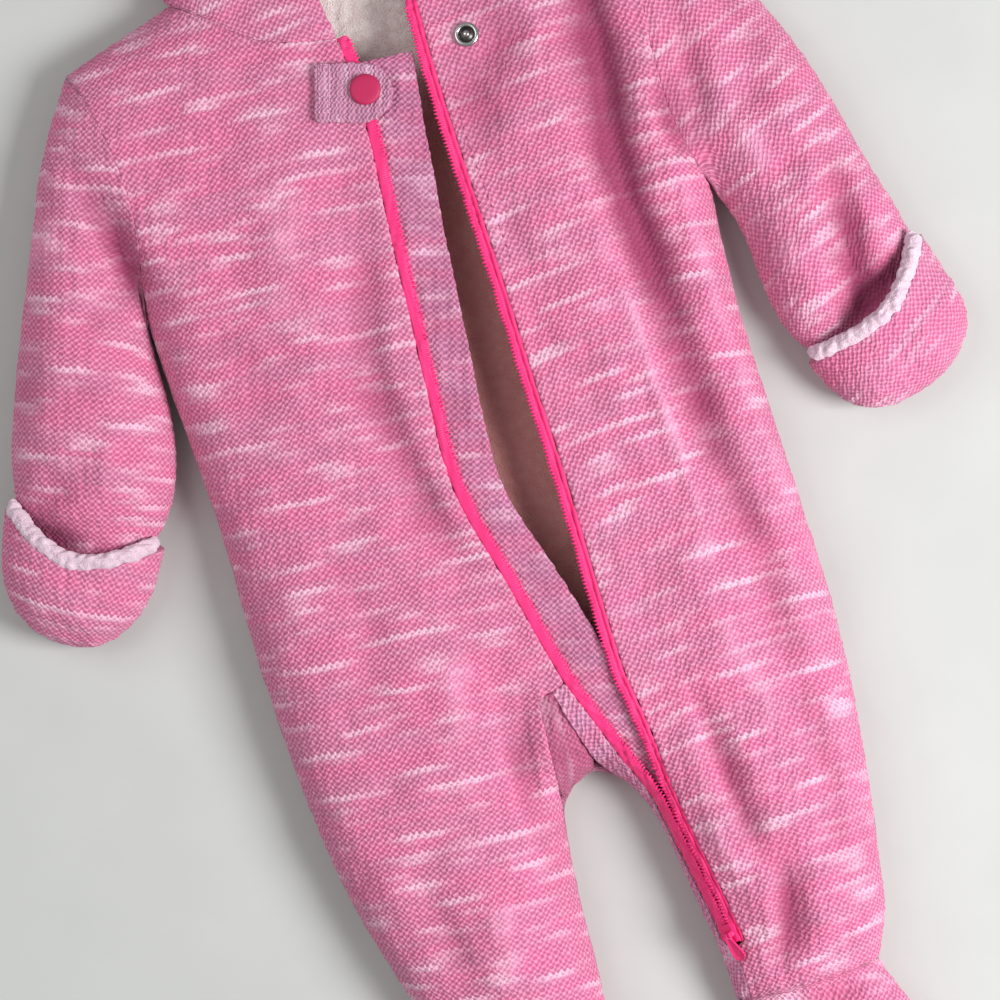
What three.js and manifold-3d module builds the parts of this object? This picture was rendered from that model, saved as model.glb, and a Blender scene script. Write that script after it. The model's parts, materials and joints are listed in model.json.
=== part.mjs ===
// A baby's hooded snowsuit in slub knit with a pile lining, lying on its back on a flat surface.
// Its long zip is open from the neck to the inside of the left ankle, and the fronts lie side by side.
// Units are millimetres. X runs to the wearer's left, Y to the head, Z up from the surface.
// Every cloth piece is a wall that follows one soft form: a plan outline, a rounded edge and a crown.

import * as THREE from 'three';
import Module from 'manifold-3d';

const wasm = await Module();
wasm.setup();

const { lerp, clamp, smoothstep, degToRad } = THREE.MathUtils;

// Cloth and seams
const WALL = 3;                // outer knit with the pile behind it
const SEAM_GAP = 0.3;          // between two sewn pieces
const SEAM_Z = 14;             // height of the side seams above the surface
const EDGE_REACH = 38;         // how far the upper side takes to round over
const UNDER_REACH = 15;        // the same for the under side
const MITTEN_REACH = 34;
const ARC_STEPS = 4;           // grid steps over a rounded edge
const COLUMNS = 2 * (ARC_STEPS + 1);        // grid steps across a panel or a tube
const NECK_STEPS = COLUMNS - ARC_STEPS;     // the share of them that lies over the neckline
const EDGE_BAND = 0.6;         // nearer to the outline than this, a wall stands upright
const CENTRE_X = 6;            // centre line of back, hood and crotch
const ORIGIN_X = 1.05;         // middle of the laid garment, as modelled
const ORIGIN_Y = 55;

// Zip and its neighbours
const TAPE_WALL = 1.4;
const TAPE_DROP = 0.4;         // the tapes lie this much below the cloth beside them
const PLACKET_DROP = 3.4;
const PLACKET_WALL = 2.5;
const PILE_WALL = 5;
const LINING_TOP = 8.5;

// Snap and pull
const TAB = { x: -28.7, y: 219, length: 38, width: 29, turn: -16, lift: 3.4, wall: 2.8 };
const CAP = { x: -4.4, y: 213.2, radius: 7.75, height: 2.6 };
const STUD = { x: 51.6, y: 225.3, radius: 6.25, height: 3.2 };
const SLIDER = { x: 47.1, y: -239.5, width: 8, length: 10, plate: 1.8, pinZ: 4.6, pinRadius: 0.6 };
const PULL = { length: 15, width: 6.6, thickness: 1.3, eyeRadius: 1.6, holeRadius: 0.95, drop: -13 };

const COLOURS = {
  knit: 0xd77fa5, band: 0xcf86ab, pile: 0xe6d3df, lining: 0xb5a3a3,
  tape: 0xf0307f, cap: 0xdc2868, steel: 0xb8bcc0,
};

// Plan curves

/** A smooth plan curve through [x, y] points, as a fine list of points. */
function planCurve(points) {
  const vectors = points.map(([x, y]) => new THREE.Vector3(x, y, 0));
  const curve = new THREE.CatmullRomCurve3(vectors, false, 'centripetal');
  return curve.getPoints(points.length * 6).map((point) => [point.x, point.y]);
}

/** The x of a plan curve at height y on the page; the curve runs one way in y. */
function atLevel(line, y) {
  return atKey(line, y, 1, 0);
}

/** The y of a plan curve at x; the curve runs one way in x. */
function atPlace(line, x) {
  return atKey(line, x, 0, 1);
}

function atKey(line, value, key, wanted) {
  for (let i = 1; i < line.length; i += 1) {
    const from = line[i - 1];
    const to = line[i];
    if ((value - from[key]) * (value - to[key]) <= 0 && from[key] !== to[key]) {
      return lerp(from[wanted], to[wanted], (value - from[key]) / (to[key] - from[key]));
    }
  }
  const first = line[0];
  const last = line[line.length - 1];
  return Math.abs(value - first[key]) < Math.abs(value - last[key]) ? first[wanted] : last[wanted];
}

/** The point at a fraction of a plan curve's length. */
function alongCurve(line, fraction) {
  const lengths = [0];
  for (let i = 1; i < line.length; i += 1) {
    lengths.push(lengths[i - 1] + Math.hypot(line[i][0] - line[i - 1][0], line[i][1] - line[i - 1][1]));
  }
  const wanted = clamp(fraction, 0, 1) * lengths[line.length - 1];
  let i = 1;
  while (i < line.length - 1 && lengths[i] < wanted) {
    i += 1;
  }
  const share = (wanted - lengths[i - 1]) / (lengths[i] - lengths[i - 1]);
  return mixPoints(line[i - 1], line[i], share);
}

function mixPoints(a, b, share) {
  return [lerp(a[0], b[0], share), lerp(a[1], b[1], share)];
}

/** Reads one named column of a table at a key value, with a straight run between rows. */
function readTable(table, key, column, value) {
  return atKey(table.map((row) => [row[key], row[column]]), value, 0, 1);
}

// The garment's plan, traced from what shows and mirrored where it does not

const NECK_RIGHT = [-87, 285.5];
const NECK_LEFT = [99, 287];
const SHOULDER_RIGHT = [-147, 267];
const SHOULDER_LEFT = [152, 268];
const ZIP_TOP_RIGHT = [-8.4, 242.6];
const ZIP_TOP_LEFT = [30.1, 250.6];
const CROTCH = [CENTRE_X, -141.6];
const ANKLE_Y = -275;
const ARMPIT = { right: [-143.3, 150], left: [147.2, 120] };
const SLEEVE_PIT = { right: [-145.1, 150], left: [149.2, 120] };
const CROWN_POINT = [CENTRE_X, 458];
const FACE_TOP_Y = 410;

const NECKLINE = {
  right: planCurve([NECK_RIGHT, [-71.2, 273.2], [-50.8, 252.9], [-35.8, 247.3], ZIP_TOP_RIGHT]),
  left: planCurve([NECK_LEFT, [83, 272], [68, 258], [52, 252], ZIP_TOP_LEFT]),
};
const SIDE = {
  right: planCurve([
    ARMPIT.right, [-143, 118], [-141.5, 90], [-138.6, 40], [-138, 13], [-140, -31], [-138.5, -81],
    [-137.4, -108], [-130.5, -170], [-116.6, -224], [-108.5, -252], [-99, ANKLE_Y],
  ]),
  left: planCurve([
    ARMPIT.left, [144.3, 91], [142.4, 30], [143.6, -4], [143.9, -42], [144.4, -100], [140, -158],
    [129.5, -228], [124.4, -255], [115, ANKLE_Y],
  ]),
};
// Between the legs the outline is a plain run of straight stretches.
const SLIT = {
  right: [CROTCH, [-14.4, -151.3], [-16.5, -165], [-20.3, -197], [-22.5, -253], [-27, ANKLE_Y]],
  left: [CROTCH, [13, -144.5], [19.6, -153], [29.9, -169], [34.9, -212.5], [40.4, -249.2], [41, ANKLE_Y]],
};
const SLEEVE_OUTER = {
  right: planCurve([
    SHOULDER_RIGHT, [-171, 230.6], [-183.3, 200.9], [-203.5, 156.9], [-222, 112.6], [-231, 84],
    [-232.6, 69.5], [-236.5, 57],
  ]),
  left: planCurve([
    SHOULDER_LEFT, [179, 235], [199.7, 200.4], [206.1, 183.4], [215.4, 159], [222.3, 126.7], [229.5, 96.2],
    [235, 79], [236, 66], [239.6, 53.5],
  ]),
};
const SLEEVE_INNER = {
  right: planCurve([
    SLEEVE_PIT.right, [-145.3, 118], [-145.6, 84], [-152.6, 56], [-160.5, 41.5], [-173.6, 28.6], [-180, 20],
  ]),
  left: planCurve([
    SLEEVE_PIT.left, [156.6, 93.3], [157.9, 63.1], [162.4, 38.5], [174.4, 21], [181, 12],
  ]),
};
const FOOT_OUTER = {
  right: planCurve([[-99, ANKLE_Y], [-104, -290], [-113, -311], [-113.5, -331], [-98, -345], [-74, -348]]),
  left: planCurve([[115, ANKLE_Y], [119.5, -290], [128, -310], [128.5, -330], [113, -345], [89, -348]]),
};
const FOOT_INNER = {
  right: planCurve([[-27, ANKLE_Y], [-27.5, -295], [-34, -320], [-50, -341], [-74, -348]]),
  left: planCurve([[41, ANKLE_Y], [42, -295], [49, -320], [65, -341], [89, -348]]),
};
const HOOD_SIDE = {
  right: planCurve([
    NECK_RIGHT, [-98, 310], [-104, 345], [-101, 385], [-84, 422], [-55, 446], [-22, 456], CROWN_POINT,
  ]),
  left: planCurve([
    NECK_LEFT, [109, 311], [115, 346], [112, 386], [95, 422], [66, 446], [34, 456], CROWN_POINT,
  ]),
};
const FACE_EDGE = {
  right: planCurve([
    ZIP_TOP_RIGHT, [-12, 266], [-14, 290], [-26, 318], [-41, 350], [-37, 382], [-18, 403],
    [CENTRE_X, FACE_TOP_Y],
  ]),
  left: planCurve([
    ZIP_TOP_LEFT, [30.6, 270], [32, 292], [42, 320], [54, 350], [50, 382], [31, 403], [CENTRE_X, FACE_TOP_Y],
  ]),
};
// Where the flap begins on either side of the mitten, the hand's outline, and how far its edge bows down.
const MITTEN = {
  right: {
    start: [-238.8, 69.5], end: [-168, 26], tip: [-216, -11.2], bow: 21,
    outer: planCurve([
      [-238.8, 69.5], [-246.9, 49.3], [-251.6, 28], [-244.8, 7.3], [-233.5, -4.6], [-216, -11.2],
    ]),
    inner: planCurve([[-168, 26], [-180.4, 6], [-193.3, -4.9], [-204, -9.6], [-216, -11.2]]),
  },
  left: {
    start: [241.6, 66.5], end: [168, 20], tip: [205, -11.8], bow: 15,
    outer: planCurve([[241.6, 66.5], [247.6, 46], [253.1, 28], [250.2, 12], [232, -4.8], [205, -11.8]]),
    inner: planCurve([[168, 20], [175.9, 2.7], [184, -6.2], [194, -10.7], [205, -11.8]]),
  },
};

// The armhole seam, as a scoop into the body from the straight line between shoulder and armpit
const ARMHOLE = [
  { along: 0, scoop: 0 }, { along: 0.1, scoop: 5.5 }, { along: 0.3, scoop: 10.5 }, { along: 0.5, scoop: 13 },
  { along: 0.75, scoop: 11.5 }, { along: 0.92, scoop: 5 }, { along: 1, scoop: 0 },
];

// The zip's halves and the free edge of the placket, in rows down the body
const ZIP = [
  { y: 251, right: -8.4, left: 30.1, placket: 24 },
  { y: 225, right: -6.2, left: 28.9, placket: 22.9 },
  { y: 198, right: -5.8, left: 28.7, placket: 18.8 },
  { y: 165, right: -8.7, left: 29.2, placket: 15.6 },
  { y: 134, right: -11.3, left: 29.8, placket: 11.8 },
  { y: 108, right: -12.8, left: 30.4, placket: 9.7 },
  { y: 73, right: -15.4, left: 30.6, placket: 6.6 },
  { y: 47, right: -17, left: 30.6, placket: 4 },
  { y: 27, right: -19, left: 31.6, placket: 2.4 },
  { y: 10, right: -19.8, left: 31.6, placket: 1.6 },
  { y: -12, right: -13.9, left: 31.6, placket: 6.6 },
  { y: -37, right: -6.2, left: 31.4, placket: 15.3 },
  { y: -62, right: -0.8, left: 31, placket: 21.8 },
  { y: -82, right: 1.2, left: 30.4, placket: 27.4 },
  { y: -100, right: 8.4, left: 31.2, placket: 31 },
  { y: -120, right: 15.7, left: 34.2, placket: 34.6 },
  { y: -142, right: 23, left: 36, placket: 37.2 },
  { y: -164, right: 32, left: 37.8, placket: 39.5 },
  { y: -193, right: 36.4, left: 42, placket: 42 },
  { y: -216, right: 40.4, left: 46, placket: 46 },
  { y: -240, right: 44.6, left: 50, placket: 50 },
];
const ZIP_END_Y = -245;
const LEG_SEAM_X = 47.2;       // below the zip the two pieces meet here
const PLACKET_END_Y = -160;

// Height of the upper side where it is fullest, down the garment
const CROWN = [
  { y: 470, z: 22 }, { y: 400, z: 26 }, { y: 330, z: 29 }, { y: 270, z: 32 },
  { y: 200, z: 36 }, { y: 60, z: 38 }, { y: -80, z: 38 }, { y: -200, z: 39 },
  { y: -255, z: 36 }, { y: -277, z: 30 }, { y: -300, z: 34 }, { y: -350, z: 31 },
];

// Main folds of the upper side: straight stretches, below zero for a trough
const FOLDS = [
  { x1: 113, y1: 200, x2: 104, y2: 90, width: 13, rise: -4.5 },
  { x1: 104, y1: 90, x2: 95, y2: -40, width: 12, rise: -4 },
  { x1: 84, y1: -45, x2: 86, y2: -110, width: 14, rise: 3 },
  { x1: 100, y1: -100, x2: 97, y2: -190, width: 12, rise: -3.5 },
  { x1: 76, y1: -170, x2: 70, y2: -235, width: 12, rise: 2.5 },
  { x1: 72, y1: 220, x2: 66, y2: 60, width: 17, rise: 2.5 },
  { x1: -150, y1: 196, x2: -147, y2: 150, width: 9, rise: -8 },
  { x1: 148, y1: 160, x2: 149, y2: 121, width: 9, rise: -6 },
  { x1: -190, y1: 150, x2: -206, y2: 90, width: 13, rise: 3 },
  { x1: -100, y1: 150, x2: -60, y2: 90, width: 16, rise: -2.5 },
  { x1: -58, y1: 200, x2: -64, y2: 40, width: 18, rise: 2.5 },
  { x1: -20, y1: -96, x2: -52, y2: -150, width: 11, rise: -3 },
  { x1: -70, y1: -80, x2: -66, y2: -210, width: 16, rise: 2.5 },
  { x1: -96, y1: -120, x2: -92, y2: -200, width: 12, rise: -2.5 },
  { x1: 190, y1: 170, x2: 200, y2: 75, width: 12, rise: 3 },
  { x1: 176, y1: 190, x2: 182, y2: 120, width: 11, rise: -3 },
  { x1: -62, y1: 300, x2: -70, y2: 390, width: 14, rise: 2.5 },
  { x1: 76, y1: 305, x2: 84, y2: 385, width: 14, rise: -2.5 },
  { x1: 50, y1: -283, x2: 108, y2: -287, width: 7, rise: -3 },
  { x1: -92, y1: -284, x2: -36, y2: -284, width: 7, rise: -3 },
];
// Hollows of the sleeve ends just above the mitten flaps
const HOLLOWS = [
  { x1: -226, y1: 47, x2: -202, y2: 40, width: 12, rise: -8 },
  { x1: -186, y1: 52, x2: -184, y2: 46, width: 8, rise: -4 },
  { x1: 197, y1: 52, x2: 206, y2: 30, width: 10, rise: -9 },
  { x1: 203, y1: 90, x2: 199, y2: 60, width: 7, rise: -4 },
];

function foldRise(folds, x, y) {
  let rise = 0;
  for (const fold of folds) {
    const away = segmentDistance(x, y, fold.x1, fold.y1, fold.x2, fold.y2).distance;
    rise += fold.rise * Math.exp(-((away / fold.width) ** 2));
  }
  return rise;
}

function segmentDistance(x, y, x1, y1, x2, y2) {
  const dx = x2 - x1;
  const dy = y2 - y1;
  const share = clamp(((x - x1) * dx + (y - y1) * dy) / (dx * dx + dy * dy), 0, 1);
  const nearX = x1 + share * dx;
  const nearY = y1 + share * dy;
  return { distance: Math.hypot(x - nearX, y - nearY), share, nearX, nearY };
}

// Forms: an outline with its outward directions, and heights over it

/** Lines run with the cloth on their left. Each keeps an outward direction at every point. */
function outlineOf(lines) {
  return lines.flatMap((line) => {
    const outward = line.map((point, i) => {
      const before = line[Math.max(i - 1, 0)];
      const after = line[Math.min(i + 1, line.length - 1)];
      const first = unit(point[1] - before[1], before[0] - point[0]);
      const second = unit(after[1] - point[1], point[0] - after[0]);
      return unit(first[0] + second[0], first[1] + second[1]);
    });
    return line.slice(1).map((to, i) => ({ from: line[i], to, outFrom: outward[i], outTo: outward[i + 1] }));
  });
}

function unit(x, y) {
  const size = Math.hypot(x, y);
  return size < 1e-9 ? [0, 0] : [x / size, y / size];
}

/** Distance to the outline, and the direction straight out of the cloth there. */
function nearestEdge(outline, x, y) {
  let best = { distance: Infinity };
  for (const { from, to, outFrom, outTo } of outline) {
    const near = segmentDistance(x, y, from[0], from[1], to[0], to[1]);
    if (near.distance < best.distance) {
      const out = unit(lerp(outFrom[0], outTo[0], near.share), lerp(outFrom[1], outTo[1], near.share));
      best = { distance: near.distance, out };
    }
  }
  return best;
}

/** A rounded edge: nothing at the outline, one where the reach is past. */
function edgeRound(share) {
  return share >= 1 ? 1 : Math.sqrt(1 - (1 - share) ** 2);
}

const reversed = (line) => [...line].reverse();

const suitOutline = outlineOf([
  [NECK_RIGHT, ...SLEEVE_OUTER.right],
  [...reversed(SLEEVE_INNER.right), ...SIDE.right, ...FOOT_OUTER.right.slice(1),
    ...reversed(FOOT_INNER.right), ...reversed(SLIT.right).slice(1), ...SLIT.left.slice(1),
    ...FOOT_INNER.left.slice(1), ...reversed(FOOT_OUTER.left).slice(1), ...reversed(SIDE.left).slice(1),
    ...SLEEVE_INNER.left],
  [...reversed(SLEEVE_OUTER.left), ...HOOD_SIDE.left, ...reversed(HOOD_SIDE.right).slice(1), SHOULDER_RIGHT],
]);

const suitForm = {
  outline: suitOutline,
  reach: EDGE_REACH,
  crown: (x, y) => readTable(CROWN, 'y', 'z', y) + foldRise(FOLDS, x, y),
  floor: () => 0,
};

/** How far a point lies past the line where a mitten starts, towards its tip. */
function pastWrist(mitten, x, y) {
  const [dx, dy] = unit(mitten.end[0] - mitten.start[0], mitten.end[1] - mitten.start[1]);
  const tipX = mitten.tip[0] - mitten.start[0];
  const tipY = mitten.tip[1] - mitten.start[1];
  const towardsTip = Math.sign(tipX * dy - tipY * dx);
  const past = towardsTip * ((x - mitten.start[0]) * dy - (y - mitten.start[1]) * dx);
  const span = Math.hypot(mitten.end[0] - mitten.start[0], mitten.end[1] - mitten.start[1]);
  const across = ((x - mitten.start[0]) * dx + (y - mitten.start[1]) * dy) / span;
  return { past, across, direction: [towardsTip * dy, -towardsTip * dx] };
}

/** Depth of the flap edge below the wrist line, at a share of the way across. */
function flapBow(mitten, across) {
  return mitten.bow * Math.sin(Math.PI * clamp(across, 0, 1));
}

/** A sleeve sinks to pass into its mitten: down on top, and up off the surface below. */
function sleeveForm(mitten) {
  const CUFF_CROWN = 24;
  const CUFF_LIFT = 3.8;
  return {
    ...suitForm,
    crown: (x, y) => {
      const { past, across } = pastWrist(mitten, x, y);
      const sink = smoothstep(past - flapBow(mitten, across), -20, -4);
      return lerp(suitForm.crown(x, y) + foldRise(HOLLOWS, x, y), CUFF_CROWN, sink);
    },
    floor: (x, y) => CUFF_LIFT * smoothstep(pastWrist(mitten, x, y).past, -11, -2),
  };
}

/** A mitten has an outline of its own, run on past the wrist so that the flap's edge can lie there. */
function mittenForm(mitten) {
  const { direction } = pastWrist(mitten, mitten.start[0], mitten.start[1]);
  const RUN_ON = 14;
  const MITTEN_CROWN = 35.5;
  const RIPPLE = 1.2;
  const runOn = (point) => [point[0] - RUN_ON * direction[0], point[1] - RUN_ON * direction[1]];
  const innerWayBack = reversed(mitten.inner).slice(1);
  const around = [runOn(mitten.start), ...mitten.outer, ...innerWayBack, runOn(mitten.end)];
  const clockwise = mitten.start[0] > mitten.end[0];
  return {
    outline: outlineOf([clockwise ? reversed(around) : around]),
    reach: MITTEN_REACH,
    crown: (x, y) => MITTEN_CROWN + RIPPLE * Math.sin(x / 9) * Math.cos(y / 11),
    floor: () => 0,
  };
}

/** Height of one side of a form. Side 1 is the upper one and -1 the under one. */
function heightOn(form, side, x, y, distance = nearestEdge(form.outline, x, y).distance) {
  if (side > 0) {
    return SEAM_Z + (form.crown(x, y) - SEAM_Z) * edgeRound(distance / form.reach);
  }
  const floor = form.floor(x, y);
  return floor + (SEAM_Z - floor) * (1 - edgeRound(distance / UNDER_REACH));
}

/** A point of a form with its outward normal, level where the side turns over. */
function pointOn(form, side, x, y) {
  const { distance, out } = nearestEdge(form.outline, x, y);
  const position = new THREE.Vector3(x, y, heightOn(form, side, x, y, distance));
  if (distance < EDGE_BAND) {
    return { position, normal: new THREE.Vector3(out[0], out[1], 0), atEdge: true };
  }
  const STEP = 0.3;
  const slopeX = (heightOn(form, side, x + STEP, y) - heightOn(form, side, x - STEP, y)) / (2 * STEP);
  const slopeY = (heightOn(form, side, x, y + STEP) - heightOn(form, side, x, y - STEP)) / (2 * STEP);
  const normal = new THREE.Vector3(-slopeX * side, -slopeY * side, side).normalize();
  return { position, normal, atEdge: false };
}

// Grids: rows of plan points between two edges

/** Steps over a rounded edge, as shares of a row of this length. */
function arcShares(length, reach = EDGE_REACH) {
  const span = Math.min(reach / Math.max(length, 1), 0.42);
  const quarter = Math.PI / 2;
  return Array.from({ length: ARC_STEPS + 1 }, (_, i) => span * (1 - Math.cos((i / ARC_STEPS) * quarter)));
}

/** Shares across a row whose first edge is rounded. */
function oneEdge(length, count) {
  const arc = arcShares(length);
  const rest = count - ARC_STEPS;
  const start = arc[ARC_STEPS];
  return [...arc, ...Array.from({ length: rest }, (_, i) => lerp(start, 1, (i + 1) / rest))];
}

/** Shares across a row whose edges are both rounded. */
function twoEdges(length) {
  const arc = arcShares(length);
  return [...arc, 0.5, ...arc.map((share) => 1 - share).reverse()];
}

function distanceBetween(a, b) {
  return Math.hypot(b[0] - a[0], b[1] - a[1]);
}

/**
 * Rows between the points of two edges. The first row can follow a line of its own,
 * whose shape fades out over the rows below it.
 */
function gridBetween(edgeA, edgeB, sharesOf, first = null, fade = () => 0) {
  return edgeA.map((a, row) => {
    const b = edgeB[row];
    const shares = sharesOf(distanceBetween(a, b), row);
    const weight = first ? fade(row) : 0;
    return shares.map((share, column) => {
      const ownShare = first ? lerp(share, first.shares[column], weight) : share;
      const [x, y] = mixPoints(a, b, ownShare);
      return first ? [x + weight * first.shift[column][0], y + weight * first.shift[column][1]] : [x, y];
    });
  });
}

/** A first row given by its points: their shares of the straight line and how far they stand off it. */
function firstRow(points) {
  const a = points[0];
  const b = points[points.length - 1];
  const span = distanceBetween(a, b) ** 2;
  const shares = points.map(([x, y]) => ((x - a[0]) * (b[0] - a[0]) + (y - a[1]) * (b[1] - a[1])) / span);
  const shift = points.map(([x, y], i) => [x - lerp(a[0], b[0], shares[i]), y - lerp(a[1], b[1], shares[i])]);
  return { shares, shift };
}

// Walls: a patch of a form, given its thickness

/**
 * A patch lifts a plan grid onto one side of a form. A split patch stops half a gap short of the side seam,
 * and trims names the grid edges that stop half a gap short of a neighbour.
 */
function patchOn(form, side, grid, { split = false, trims = [], lift = 0 } = {}) {
  const points = grid.map((row, i) => row.map(([x, y], j) => {
    const point = pointOn(form, side, x, y);
    const raise = typeof lift === 'function' ? lift(i, j) : lift;
    point.position.addScaledVector(point.normal, raise);
    if (split && point.atEdge) {
      point.position.z += side * SEAM_GAP / 2;
    }
    return point;
  }));
  const lastColumn = grid[0].length - 1;
  const inward = {
    first: (i, j) => (j === 0 ? [i, 1] : null),
    last: (i, j) => (j === lastColumn ? [i, lastColumn - 1] : null),
  };
  return points.map((row, i) => row.map((point, j) => {
    const position = point.position.clone();
    if (trims.includes('top') && i === 0) {
      position.y -= SEAM_GAP / 2;
    }
    for (const trim of trims.filter((name) => name in inward)) {
      const inside = inward[trim](i, j);
      if (inside) {
        const to = points[inside[0]][inside[1]].position;
        const [dx, dy] = unit(to.x - point.position.x, to.y - point.position.y);
        position.x += dx * SEAM_GAP / 2;
        position.y += dy * SEAM_GAP / 2;
      }
    }
    return { position, normal: point.normal };
  }));
}

/** A loose patch that lies at the heights of a plain function. */
function loosePatch(grid, height) {
  return grid.map((row) => row.map(([x, y]) => (
    { position: new THREE.Vector3(x, y, height(x, y)), normal: new THREE.Vector3(0, 0, 1) }
  )));
}

/** Joins patches along shared points and gives them a wall on their inner side. */
function wallMesh(name, colour, patches, wall = WALL) {
  const points = [];
  const index = new Map();
  const keep = ({ position, normal }) => {
    const key = position.toArray().map((value) => Math.round(value * 200)).join(' ');
    if (!index.has(key)) {
      index.set(key, points.length);
      points.push({ position, normal: new THREE.Vector3() });
    }
    points[index.get(key)].normal.add(normal);
    return index.get(key);
  };
  const faces = [];
  const addFace = (corners, flip) => {
    const [a, b, c] = flip ? [corners[0], corners[2], corners[1]] : corners;
    if (a !== b && b !== c && c !== a) {
      faces.push([a, b, c]);
    }
  };
  for (const patch of patches) {
    const ids = patch.map((row) => row.map(keep));
    const flip = facesInward(patch);
    for (let i = 1; i < patch.length; i += 1) {
      for (let j = 1; j < patch[0].length; j += 1) {
        addFace([ids[i - 1][j - 1], ids[i][j - 1], ids[i][j]], flip);
        addFace([ids[i - 1][j - 1], ids[i][j], ids[i - 1][j]], flip);
      }
    }
  }
  return closedMesh(name, colour, points, faces, wall);
}

/** True when a patch's rows and columns turn against its normals. */
function facesInward(patch) {
  const row = Math.floor(patch.length / 2);
  const column = Math.floor(patch[0].length / 2);
  const corner = patch[row - 1][column - 1].position;
  const down = patch[row][column - 1].position.clone().sub(corner);
  const across = patch[row][column].position.clone().sub(corner);
  return down.cross(across).dot(patch[row][column].normal) < 0;
}

function closedMesh(name, colour, points, faces, wall) {
  const count = points.length;
  const inner = points.map(({ position, normal }) => (
    position.clone().addScaledVector(normal.normalize(), -wall)
  ));
  const all = [...points.map(({ position }) => position), ...inner];
  const directed = new Set(faces.flatMap(([a, b, c]) => [`${a} ${b}`, `${b} ${c}`, `${c} ${a}`]));
  const triangles = [];
  for (const [a, b, c] of faces) {
    triangles.push([a, b, c], [c + count, b + count, a + count]);
    for (const [from, to] of [[a, b], [b, c], [c, a]]) {
      if (!directed.has(`${to} ${from}`)) {
        triangles.push(...rimFaces(all, to, from, count));
      }
    }
  }
  const geometry = new THREE.BufferGeometry();
  geometry.setAttribute('position', new THREE.Float32BufferAttribute(all.flatMap((p) => p.toArray()), 3));
  geometry.setIndex(triangles.flat());
  return meshOf(name, geometry, colour);
}

/** Two faces across a wall's edge, split on the shorter diagonal so that two sewn edges match. */
function rimFaces(all, to, from, count) {
  const one = all[to].distanceTo(all[from + count]);
  const other = all[from].distanceTo(all[to + count]);
  return one < other
    ? [[to, from, from + count], [to, from + count, to + count]]
    : [[to, from, to + count], [from, from + count, to + count]];
}

function meshOf(name, geometry, colour, roughness = 0.9, metalness = 0) {
  const material = new THREE.MeshStandardMaterial({ color: colour, roughness, metalness });
  const mesh = new THREE.Mesh(geometry, material);
  mesh.name = name;
  return mesh;
}

// Rows of the body: each has a level on the side and one on the centre

const HAND = {
  right: { sign: -1, shoulder: SHOULDER_RIGHT, neck: NECK_RIGHT, zipTop: ZIP_TOP_RIGHT },
  left: { sign: 1, shoulder: SHOULDER_LEFT, neck: NECK_LEFT, zipTop: ZIP_TOP_LEFT },
};
const ARMPIT_ROW = COLUMNS;
const ARMPIT_CENTRE_Y = 134;
const SPLIT_LEVELS = [
  -96, -100, -117.5, -130, -138, CROTCH[1], -150, -162, -180, -200, -222, ZIP_END_Y, -248, -262, ANKLE_Y,
];
const TRUNK_ROWS = 8;
const FIRST_LEG_ROW = ARMPIT_ROW + TRUNK_ROWS + SPLIT_LEVELS.indexOf(CROTCH[1]);
const LEG_BLEND_ROWS = 8;      // rows over which the trunk's grid turns into the leg's

/** Side levels: over the armhole in arc steps, then evenly down to the crotch, then the leg's own. */
function sideLevels(hand) {
  const { shoulder } = HAND[hand];
  const pit = ARMPIT[hand];
  const armhole = armholeShares(shoulder[1] - pit[1]).map((share) => lerp(shoulder[1], pit[1], share));
  return [...armhole, ...trunkLevels(pit[1]), ...SPLIT_LEVELS];
}

function centreLevels(topY) {
  const armhole = armholeShares().map((share) => lerp(topY, ARMPIT_CENTRE_Y, share));
  return [...armhole, ...trunkLevels(ARMPIT_CENTRE_Y), ...SPLIT_LEVELS];
}

/** Row shares down an armhole; its grid also serves the sleeve, whose edges are rounded. */
function armholeShares(height = SHOULDER_RIGHT[1] - ARMPIT.right[1]) {
  return twoEdges(height);
}

function trunkLevels(fromY) {
  return Array.from({ length: TRUNK_ROWS - 1 }, (_, i) => lerp(fromY, SPLIT_LEVELS[0], (i + 1) / TRUNK_ROWS));
}

/** Points down the side of the body: the armhole seam and then the side seam. */
function sidePoints(hand) {
  const { shoulder, sign } = HAND[hand];
  const pit = ARMPIT[hand];
  return sideLevels(hand).map((y, row) => {
    if (row > ARMPIT_ROW) {
      return [atLevel(SIDE[hand], y), y];
    }
    const along = (shoulder[1] - y) / (shoulder[1] - pit[1]);
    const scoop = readTable(ARMHOLE, 'along', 'scoop', along);
    return [lerp(shoulder[0], pit[0], along) - sign * scoop, y];
  });
}

/** How strongly the neck's shape still shows in a row. */
function neckFade(row) {
  return row >= ARMPIT_ROW ? 0 : (1 - armholeShares()[row]) ** 2;
}

/** The top row: even steps along the shoulder, then over the neckline to its end. */
function topRow(hand, end, yAt) {
  const { shoulder, neck } = HAND[hand];
  const seam = Array.from({ length: ARC_STEPS }, (_, i) => mixPoints(shoulder, neck, i / ARC_STEPS));
  return [...seam, ...neckRow(hand, end, yAt)];
}

/** Points along the neck from the shoulder to an end point. */
function neckRow(hand, end, yAt) {
  const { neck } = HAND[hand];
  return oneEdge(Math.abs(end[0] - neck[0]), NECK_STEPS).map((share) => {
    const x = lerp(neck[0], end[0], share);
    return [x, yAt(x)];
  });
}

/** Shares across a body row, from a wide trunk to a leg that is rounded on both sides. */
function bodyShares(length, row, legBoth) {
  const trunk = oneEdge(length, COLUMNS);
  if (!legBoth) {
    return trunk;
  }
  const leg = twoEdges(length);
  const share = smoothstep(row, FIRST_LEG_ROW - LEG_BLEND_ROWS, FIRST_LEG_ROW);
  return trunk.map((value, i) => lerp(value, leg[i], share));
}

/** Half the tape's width in plan: less where it runs down the turned inside of the leg. */
function tapeHalf(y) {
  const ON_LEG = 2.4;
  const ON_BODY = 3;
  return lerp(ON_LEG, ON_BODY, smoothstep(y, -165, -135));
}

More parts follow.
